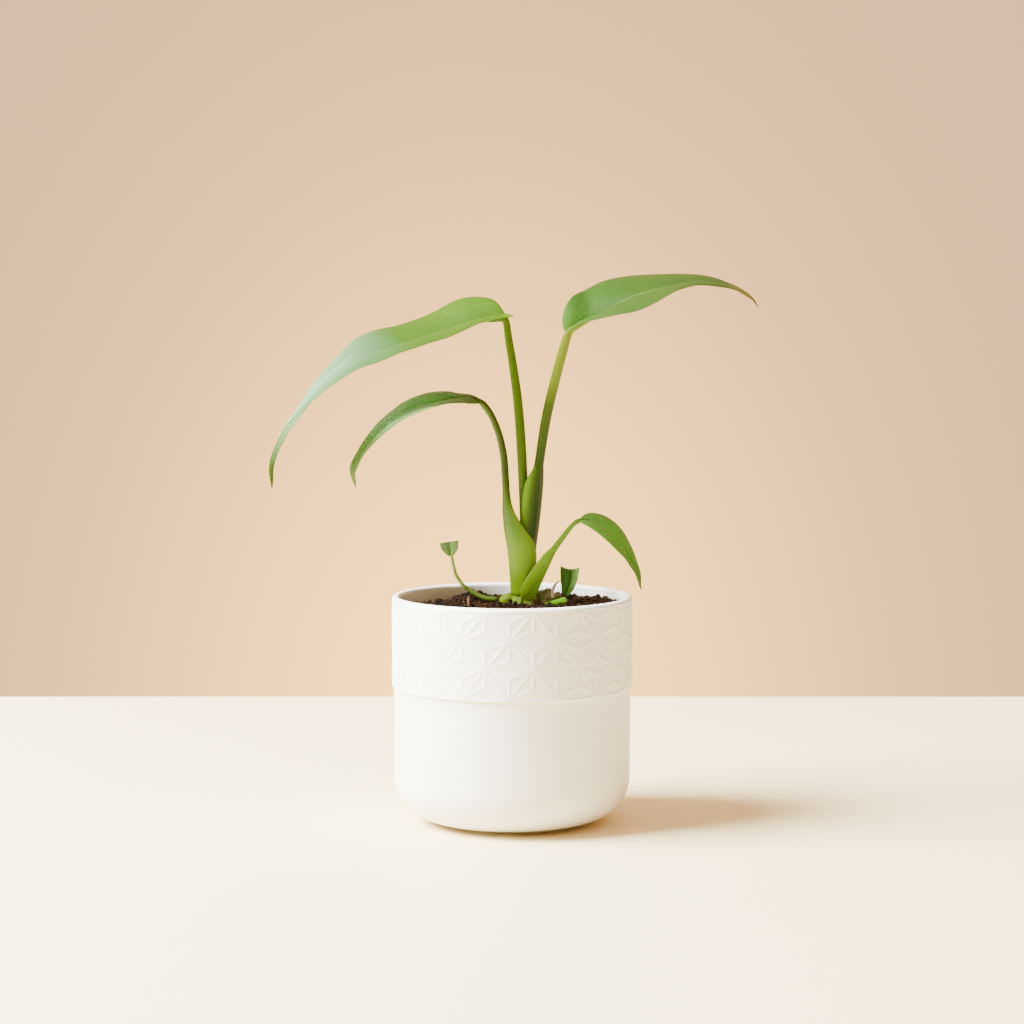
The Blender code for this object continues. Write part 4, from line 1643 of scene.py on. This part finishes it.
@dataclass
class Studio:
    """The table, the far wall, the lights and the camera."""

    table_half_width: float = 2.0
    table_near: float = -0.9
    table_far: float = 0.443
    table_edge: float = 0.012
    wall_radius: float = 3.2
    wall_low: float = -2.0
    wall_high: float = 3.4
    table_colour: Colour = (0.99, 0.84, 0.52)
    wall_colour: Colour = (1.48, 0.86, 0.44)
    room_colour: Colour = (0.56, 0.28, 0.13)
    glow_colour: Colour = (4.40, 2.35, 0.66)
    glow_place: tuple[float, float] = (-0.06, -0.55)
    glow_spread: tuple[float, float] = (0.60, 0.90)
    sky_colour: Colour = (1.20, 0.88, 0.58)
    key_place: tuple[float, float, float] = (-1.42, -0.30, 1.48)
    aim_height: float = 0.1
    key_size: float = 1.1
    key_power: float = 100.0
    key_colour: Colour = (1.0, 1.0, 0.93)
    planter_share: float = 5.2
    table_share: float = 3.0
    camera_distance: float = 1.3461
    camera_height: float = 0.2779
    camera_pitch: float = 4.66
    camera_lens: float = 87.89

    def build_sheet(
        self, name: str, grid: np.ndarray, closed: bool, material: bpy.types.Material
    ) -> bpy.types.Object:
        """A smooth sheet that belongs to the stage.

        Args:
            name: The sheet's name.
            grid: Its points, in rows and columns.
            closed: Whether its last column joins the first.
            material: Its finish.

        Returns:
            The sheet, which faces the planter.
        """
        mesh = bpy.data.meshes.new(name)
        faces = grid_faces(*grid.shape[:2], closed)[:, ::-1]
        mesh.from_pydata(grid.reshape(-1, 3), [], faces.tolist())
        mesh.shade_smooth()
        mesh.materials.append(material)
        obj = placed(name, mesh)
        return obj

    def build_table(self) -> bpy.types.Object:
        """Builds the table.

        Returns:
            The table: a flat top that rounds over at its far edge.
        """
        top = np.linspace(-0.6, self.table_far - 0.03, 12)
        reach = [(self.table_near, 0.0)] + [(y, 0.0) for y in top]
        edge = arc((self.table_far - self.table_edge, -self.table_edge), self.table_edge, 90.0, 0.0, 8)
        section = np.vstack([reach, edge, [(self.table_far, -0.6)]])
        xs = np.linspace(-self.table_half_width, self.table_half_width, 9)
        grid = np.stack(np.broadcast_arrays(xs, section[:, :1], section[:, 1:]), axis=-1)
        shader = Shader("table_paint")
        cloud = shader.spread(shader.noise(3.0), 0.3, 0.7)
        shade = tuple(0.97 * c for c in self.table_colour)
        shader.set(Base_Color=shader.mix(cloud, self.table_colour, shade), Roughness=0.6)
        return self.build_sheet("table_top", grid, False, shader.material)

    def build_wall(self) -> None:
        """The wall: a wide drum round the table that glows softly.

        It is brightest low down behind the plant, by exp(-(dx/w)^2 - (dz/h)^2), and its front half
        glows as a dim room does.
        """
        z = np.linspace(self.wall_low, self.wall_high, 24)[:, None]
        grid = turned(self.wall_radius, z, turns(96))
        shader = Shader("wall_glow")
        split = shader.node("ShaderNodeSeparateXYZ")
        shader.feed(split.inputs[0], shader.place)
        terms = []
        for axis, middle, spread in zip("XZ", self.glow_place, self.glow_spread):
            away = shader.math("DIVIDE", shader.math("SUBTRACT", split.outputs[axis], middle), spread)
            terms.append(shader.times(away, away))
        fall = shader.math("EXPONENT", shader.times(shader.math("ADD", *terms), -1.0))
        front = shader.spread(split.outputs["Y"], 0.0, 1.5)
        glow = shader.node("ShaderNodeEmission")
        tone = shader.mix(fall, self.wall_colour, self.glow_colour)
        tone = shader.mix(front, self.room_colour, tone)
        shader.feed(glow.inputs["Color"], tone)
        shader.feed(shader.tree.nodes["Material Output"].inputs["Surface"], glow.outputs[0])
        shader.material.cycles.emission_sampling = "NONE"
        self.build_sheet("studio_wall", grid, True, shader.material)

    def add_key(self, name: str, power: float) -> bpy.types.Object:
        """A square area light at the key's place, turned to the planter.

        Args:
            name: The light's name.
            power: Its power in watts.

        Returns:
            The light.
        """
        data = bpy.data.lights.new(name, "AREA")
        data.size = self.key_size
        data.energy = power
        data.color = self.key_colour
        obj = placed(name, data)
        x, y, z = np.array(self.key_place) - (0.0, 0.0, self.aim_height)
        obj.location = self.key_place
        obj.rotation_euler = (math.atan2(math.hypot(x, y), z), 0.0, math.atan2(y, x) + math.pi / 2)
        return obj

    def build_lights(self, planter: bpy.types.Object, table: bpy.types.Object) -> None:
        """A soft key from the left and a dim warm sky.

        Args:
            planter: The planter, which takes the key's power once more by its own share.
            table: The table, which does too.
        """
        self.add_key("key", self.key_power)
        shares = (("planter", self.planter_share, planter), ("table", self.table_share, table))
        for name, share, lit in shares:
            receivers = bpy.data.collections.new(name + "_receivers")
            receivers.objects.link(lit)
            key = self.add_key("key_on_" + name, self.key_power * share)
            key.light_linking.receiver_collection = receivers
        world = bpy.data.worlds.new("studio_world")
        world.use_nodes = True
        world.node_tree.nodes["Background"].inputs["Color"].default_value = self.sky_colour + (1.0,)
        world.cycles.sampling_method = "NONE"
        bpy.context.scene.world = world

    def build_camera(self) -> None:
        """The camera, level with the plant's top and looking a little down."""
        data = bpy.data.cameras.new("camera")
        data.lens = self.camera_lens
        obj = placed("camera", data)
        obj.location = (0.0, -self.camera_distance, self.camera_height)
        obj.rotation_euler = (math.radians(90.0 - self.camera_pitch), 0.0, 0.0)
        bpy.context.scene.camera = obj

    def build(self, planter: bpy.types.Object) -> None:
        """Builds the whole studio.

        Args:
            planter: The planter that stands in it.
        """
        table = self.build_table()
        self.build_wall()
        self.build_lights(planter, table)
        self.build_camera()


# ---------------------------------------------------------------- this plant


def stalks() -> tuple[Stalk, ...]:
    """The stalks as they grow on this plant.

    Returns:
        The four of them, from the innermost of the shoot to the outermost.
    """
    tall_left = StalkSkin(
        "stalk_tall_left",
        (
            (0.0, (0.046, 0.105, 0.002)),
            (0.45, (0.062, 0.13, 0.002)),
            (0.72, (0.075, 0.145, 0.003)),
            (1.0, (0.035, 0.08, 0.002)),
        ),
    )
    # The stops paint shade and light: dark up to about 0.57, painted shade where the lower stalk lies
    # under the leaves, and light from 0.63 up, painted light where the key reaches it.
    tall_right = StalkSkin(
        "stalk_tall_right",
        (
            (0.0, (0.012, 0.035, 0.001)),
            (0.46, (0.020, 0.050, 0.002)),
            (0.57, (0.045, 0.085, 0.003)),
            (0.63, (0.13, 0.20, 0.006)),
            (0.85, (0.15, 0.22, 0.01)),
        ),
        edge=(0.11, 0.24, 0.003),
        edge_share=0.9,
        edge_reach=(0.02, 0.40),
    )
    low_left = StalkSkin(
        "stalk_low_left",
        (
            (0.0, (0.24, 0.48, 0.003)),
            (0.2, (0.055, 0.14, 0.002)),
            (0.45, (0.023, 0.053, 0.002)),
            (0.8, (0.045, 0.085, 0.003)),
            (1.0, (0.055, 0.10, 0.004)),
        ),
        edge=(0.15, 0.23, 0.015),
        edge_share=0.6,
    )
    small_right = StalkSkin(
        "stalk_small_right",
        (
            (0.0, (0.26, 0.52, 0.008)),
            (0.3, (0.12, 0.26, 0.002)),
            (0.7, (0.08, 0.17, 0.006)),
            (1.0, (0.06, 0.14, 0.006)),
        ),
        edge=(0.18, 0.26, 0.02),
    )
    return (
        Stalk(
            "petiole_tall_left",
            layer=0,
            facing=180.0,
            half_thickness=2.3,
            wing=2.3,
            rows=(
                (6.2, 2.4, 62.0, 2.5),
                (5.0, 3.0, 88.0, 2.6),
                (3.1, 4.2, 112.0, 2.5),
                (0.4, 5.8, 132.0, 2.25),
                (-1.9, 7.2, 146.0, 2.05),
                (-3.2, 8.0, 154.6, 1.7),
                (-5.6, 8.0, 156.0, 1.6),
                (-10.5, 8.0, 155.5, 1.2),
                (-16.0, 7.9, 154.9, 0.7),
            ),
            skin=tall_left,
        ),
        Stalk(
            "petiole_tall_right",
            layer=1,
            facing=-40.0,
            half_thickness=1.6,
            wing=7.6,
            rows=(
                (11.9, -0.6, 45.0, 1.9, 8.4, 5.3),
                (13.0, -0.6, 58.0, 2.1, 8.4, 5.8),
                (13.7, -0.7, 68.0, 2.3, 7.2, 5.8),
                (14.2, -0.9, 75.0, 2.4, 4.0, 7.5),
                (14.8, -1.1, 80.0, 2.5, 2.6, 30.0),
                (18.2, -2.0, 102.0, 2.65),
                (22.5, -3.0, 121.0, 2.65),
                (26.7, -4.0, 137.0, 2.5),
                (29.4, -4.9, 146.4, 2.0),
                (31.4, -5.0, 150.0, 1.9),
                (36.0, -5.1, 152.6, 1.4),
                (42.0, -5.8, 155.8, 0.8),
            ),
            skin=tall_right,
        ),
        Stalk(
            "petiole_low_left",
            layer=2,
            facing=210.0,
            half_thickness=1.4,
            wing=15.5,
            rows=(
                (-1.4, -2.0, 41.0, 1.7, 11.0, 9.0),
                (-2.5, -2.0, 52.0, 1.8, 5.8, 12.0),
                (-3.0, -2.0, 61.0, 1.9, 2.8, 20.0),
                (-3.5, -2.0, 71.0, 1.95),
                (-4.5, -2.3, 83.0, 1.95),
                (-6.9, -3.0, 94.0, 1.9),
                (-10.6, -3.5, 103.5, 1.8),
                (-14.7, -4.0, 109.7, 1.65),
                (-17.8, -4.0, 112.4, 1.35),
                (-21.6, -4.0, 113.3, 1.1),
                (-27.0, -4.4, 113.0, 0.7),
            ),
            skin=low_left,
        ),
        Stalk(
            "petiole_small_right",
            layer=3,
            facing=-75.0,
            half_thickness=1.0,
            wing=5.0,
            rows=(
                (18.4, -8.4, 27.0, 1.4, 3.2, 12.0),
                (22.2, -9.0, 32.5, 1.45, 1.9, 40.0),
                (26.9, -9.8, 38.8, 1.4, 1.55, 40.0),
                (31.4, -10.5, 44.8, 1.3),
                (34.9, -11.0, 47.9, 1.2),
                (37.4, -11.3, 48.6, 1.1),
                (41.0, -12.0, 48.0, 0.9),
                (46.0, -13.0, 46.0, 0.6),
            ),
            skin=small_right,
        ),
    )


def blades() -> list[Blade]:
    """The blades as they grow on this plant.

    Returns:
        The four leaf blades and the two that were cut back.
    """
    tall_left = LeafSkin(
        "leaf_tall_left",
        (
            (0.00, (0.095, 0.26, 0.001)),
            (0.22, (0.080, 0.24, 0.004)),
            (0.45, (0.060, 0.22, 0.009)),
            (0.75, (0.060, 0.21, 0.008)),
            (0.95, (0.050, 0.14, 0.003)),
        ),
        # Painted sheen on the far half from the middle to the tip, in place of the gloss's reflection.
        sheen_span=(0.34, 0.93, 0.8),
        sheen_side=(-1.4, -0.1),
    )
    tall_right = LeafSkin(
        "leaf_tall_right",
        (
            (0.00, (0.070, 0.22, 0.025)),
            (0.35, (0.052, 0.165, 0.012)),
            (0.80, (0.040, 0.115, 0.008)),
            (0.93, (0.24, 0.27, 0.030)),
            (1.00, (0.10, 0.06, 0.010)),
        ),
        margin=(0.09, 0.045, 0.012),
        margin_share=0.9,
    )
    low_left = LeafSkin(
        "leaf_low_left",
        (
            (0.00, (0.070, 0.12, 0.010)),
            (0.30, (0.065, 0.17, 0.025)),
            (0.70, (0.066, 0.20, 0.035)),
            (1.00, (0.035, 0.09, 0.004)),
        ),
        # Painted sheen over most of the blade, in place of the gloss's reflection.
        sheen_span=(0.05, 0.72, 0.35),
    )
    small_right = LeafSkin(
        "leaf_small_right",
        (
            (0.00, (0.090, 0.24, 0.030)),
            (0.35, (0.085, 0.29, 0.022)),
            (0.80, (0.058, 0.20, 0.009)),
            (1.00, (0.026, 0.08, 0.005)),
        ),
    )
    cut_left = LeafSkin("leaf_cut_left", ((0.0, (0.21, 0.40, 0.12)), (1.0, (0.15, 0.34, 0.13))))
    cut_right = LeafSkin(
        "leaf_cut_right",
        ((0.0, (0.05, 0.16, 0.004)), (1.0, (0.035, 0.13, 0.003))),
        veins=12.0,
        # Painted highlight on the far half, where the key would light the curled sheet.
        painted_sheen=(0.30, 0.62, 0.16),
        sheen_span=(0.2, 1.3, 0.6),
        sheen_side=(0.1, 0.8),
    )
    return [
        Blade(
            "blade_tall_left",
            Turn.LEFT,
            (
                (-3.0, 8.0, 157.0, 4.5, 58.0, 20.0),
                (-12.0, 8.0, 156.5, 17.0, 42.0, 0.0),
                (-23.0, 7.0, 154.0, 26.0, 32.0, -5.0),
                (-37.0, 5.0, 149.0, 32.0, 22.0, -6.0),
                (-53.0, 2.0, 144.0, 34.0, 19.0, -5.5),
                (-69.0, -2.0, 139.0, 34.0, 21.0, -6.5),
                (-85.0, -6.0, 133.0, 31.0, 15.0, -10.0),
                (-100.0, -10.0, 121.0, 26.0, 13.0, -8.0),
                (-112.0, -13.0, 107.0, 20.0, 10.0, -2.0),
                (-121.0, -16.0, 94.0, 13.5, 13.0, 5.0),
                (-127.0, -18.0, 79.5, 8.0, 8.0, 10.0),
                (-127.5, -20.0, 66.5, 2.0, 10.0, 10.0),
            ),
            tall_left,
            rib_radius=1.8,
            base_close=(0.02, 0.045),
            lobes=(4.0, 0.0),
            quilt=0.05,
        ),
        Blade(
            "blade_tall_right",
            Turn.RIGHT,
            (
                (30.0, -5.0, 149.2, 4.0, 75.0, 2.0),
                (36.0, -5.0, 153.5, 13.0, 75.0, 2.0),
                (44.0, -6.0, 157.7, 20.0, 46.0, -4.5),
                (54.0, -7.0, 162.7, 25.0, 35.5, -9.5),
                (65.0, -8.0, 167.8, 28.0, 24.0, -14.5),
                (76.0, -9.0, 171.2, 28.0, 18.0, -12.5),
                (88.0, -10.0, 173.6, 26.0, 15.0, -5.0),
                (99.0, -11.0, 174.9, 22.0, 13.0, -2.5),
                (110.0, -13.0, 174.1, 16.0, 11.0, -4.0),
                (120.0, -14.0, 171.7, 10.0, 7.0, -6.0),
                (127.0, -15.0, 167.7, 5.5, 2.0, -16.0),
                (131.0, -16.0, 161.7, 0.8, 0.0, -10.0),
            ),
            tall_right,
            rib_radius=1.7,
            base_close=(0.045, 0.018),
            lobes=(0.0, 1.5),
            quilt=0.04,
        ),
        Blade(
            "blade_low_left",
            Turn.LEFT,
            (
                (-16.0, -4.0, 111.6, 2.5, 20.0, -30.0),
                (-23.0, -4.0, 114.3, 9.0, 6.0, -22.5),
                (-31.0, -5.0, 113.0, 14.5, 17.5, -7.5),
                (-39.0, -6.0, 110.9, 18.0, 21.5, -1.5),
                (-48.0, -7.0, 108.0, 19.0, 22.5, 1.5),
                (-57.0, -9.0, 104.1, 18.0, 21.5, 2.0),
                (-65.0, -10.0, 98.8, 16.0, 22.5, 4.0),
                (-73.0, -12.0, 91.7, 12.5, 24.0, 3.0),
                (-80.0, -13.0, 83.7, 10.0, 20.0, -4.0),
                (-84.0, -14.0, 75.7, 9.0, 20.0, -8.0),
                (-83.5, -15.0, 66.7, 2.0, 15.0, -5.0),
            ),
            low_left,
            rib_radius=1.3,
            steps=100,
            columns=20,
        ),
        Blade(
            "blade_small_right",
            Turn.RIGHT,
            (
                (36.0, -11.0, 48.9, 1.8, 40.0, -30.0),
                (41.0, -12.0, 48.8, 6.5, 34.0, -25.0),
                (46.0, -13.0, 46.7, 9.5, 34.0, -21.0),
                (52.0, -14.0, 42.5, 10.5, 32.0, -21.5),
                (57.0, -15.0, 37.2, 10.0, 30.0, -21.0),
                (61.0, -15.0, 30.8, 8.0, 33.0, -14.0),
                (64.0, -16.0, 25.0, 6.5, 32.0, -9.0),
                (67.0, -16.0, 18.5, 4.0, 34.0, 1.0),
                (69.0, -17.0, 11.9, 1.2, 10.0, 0.0),
            ),
            small_right,
            rib_radius=1.0,
            steps=90,
            columns=18,
            quilt=0.06,
            wave=0.2,
        ),
        Blade(
            "cut_blade_left",
            Turn.LEFT,
            (
                (-33.4, 16.0, 26.6, 1.2, 20.0, 20.0),
                (-33.8, 16.0, 30.0, 4.4, 20.0, 20.0),
                (-34.5, 16.0, 34.6, 5.6, 15.0, 15.0),
            ),
            cut_left,
            across=(1.0, 0.0, 0.0),
            rib_radius=0.8,
            steps=40,
            columns=14,
            quilt=0.04,
            wave=0.3,
            is_cut=True,
        ),
        Blade(
            "cut_blade_right",
            Turn.LEFT,
            (
                (29.0, -4.0, 7.4, 2.4, 45.0, 10.0),
                (30.8, -4.0, 13.4, 4.6, 42.0, 5.0),
                (31.5, -4.0, 19.0, 5.4, 38.0, 0.0),
                (31.7, -4.0, 23.2, 5.5, 34.0, -5.0),
            ),
            cut_right,
            across=(1.0, 0.0, 0.0),
            rib_radius=0.8,
            steps=50,
            columns=14,
            quilt=0.05,
            wave=0.3,
            is_cut=True,
            cup=1.6,
        ),
    ]


def twigs() -> list[Twig]:
    """The thin stems as they lie on this plant.

    Returns:
        The stems of the cut leaves and the bare root on the soil.
    """
    green = StalkSkin(
        "runner_green",
        (
            (0.0, (0.10, 0.19, 0.008)),
            (0.45, (0.12, 0.22, 0.015)),
            (0.6, (0.46, 0.74, 0.18)),
            (1.0, (0.42, 0.70, 0.20)),
        ),
    )
    bright = StalkSkin("runner_bright", ((0.0, (0.20, 0.62, 0.004)), (1.0, (0.26, 0.80, 0.005))))
    bare = DrySkin("bare_root", (0.46, 0.26, 0.18), (0.22, 0.11, 0.07))
    left = (
        (-7.6, 3.6, 4.2),
        (-15.0, 8.0, 4.6),
        (-22.0, 13.0, 7.4),
        (-26.0, 15.0, 10.0),
        (-29.0, 16.0, 13.6),
        (-31.4, 16.0, 18.4),
        (-33.4, 16.0, 28.0),
    )
    right = ((17.4, -4.4, 2.0), (23.0, -4.8, 3.2), (29.4, -4.4, 4.7))
    root = ((-23.5, 8.0, 5.2), (-23.6, 2.0, 4.6), (-23.6, -4.0, 3.2), (-23.4, -9.0, 1.0))
    return [
        Twig("runner_left", left, (1.4, 1.3, 1.2, 1.1, 1.0, 1.0, 0.9), green, Slot.STALK),
        Twig("runner_right", right, (1.2, 1.8, 1.9), bright, Slot.STALK),
        Twig("surface_root", root, (0.45, 0.6, 0.6, 0.4), bare, Slot.DRY, rough=0.25, around=14),
    ]


def main() -> None:
    """Builds the studio and every piece."""
    logging.basicConfig(level=logging.INFO, format="%(name)s: %(message)s")
    Studio().build(Planter().build())
    SoilBed().build()
    Crown().build()
    Shoot(stalks()).build()
    for blade in blades():
        blade.build()
    for twig in twigs():
        twig.build()
    CurledHusk().build()


if __name__ == "__main__":
    main()
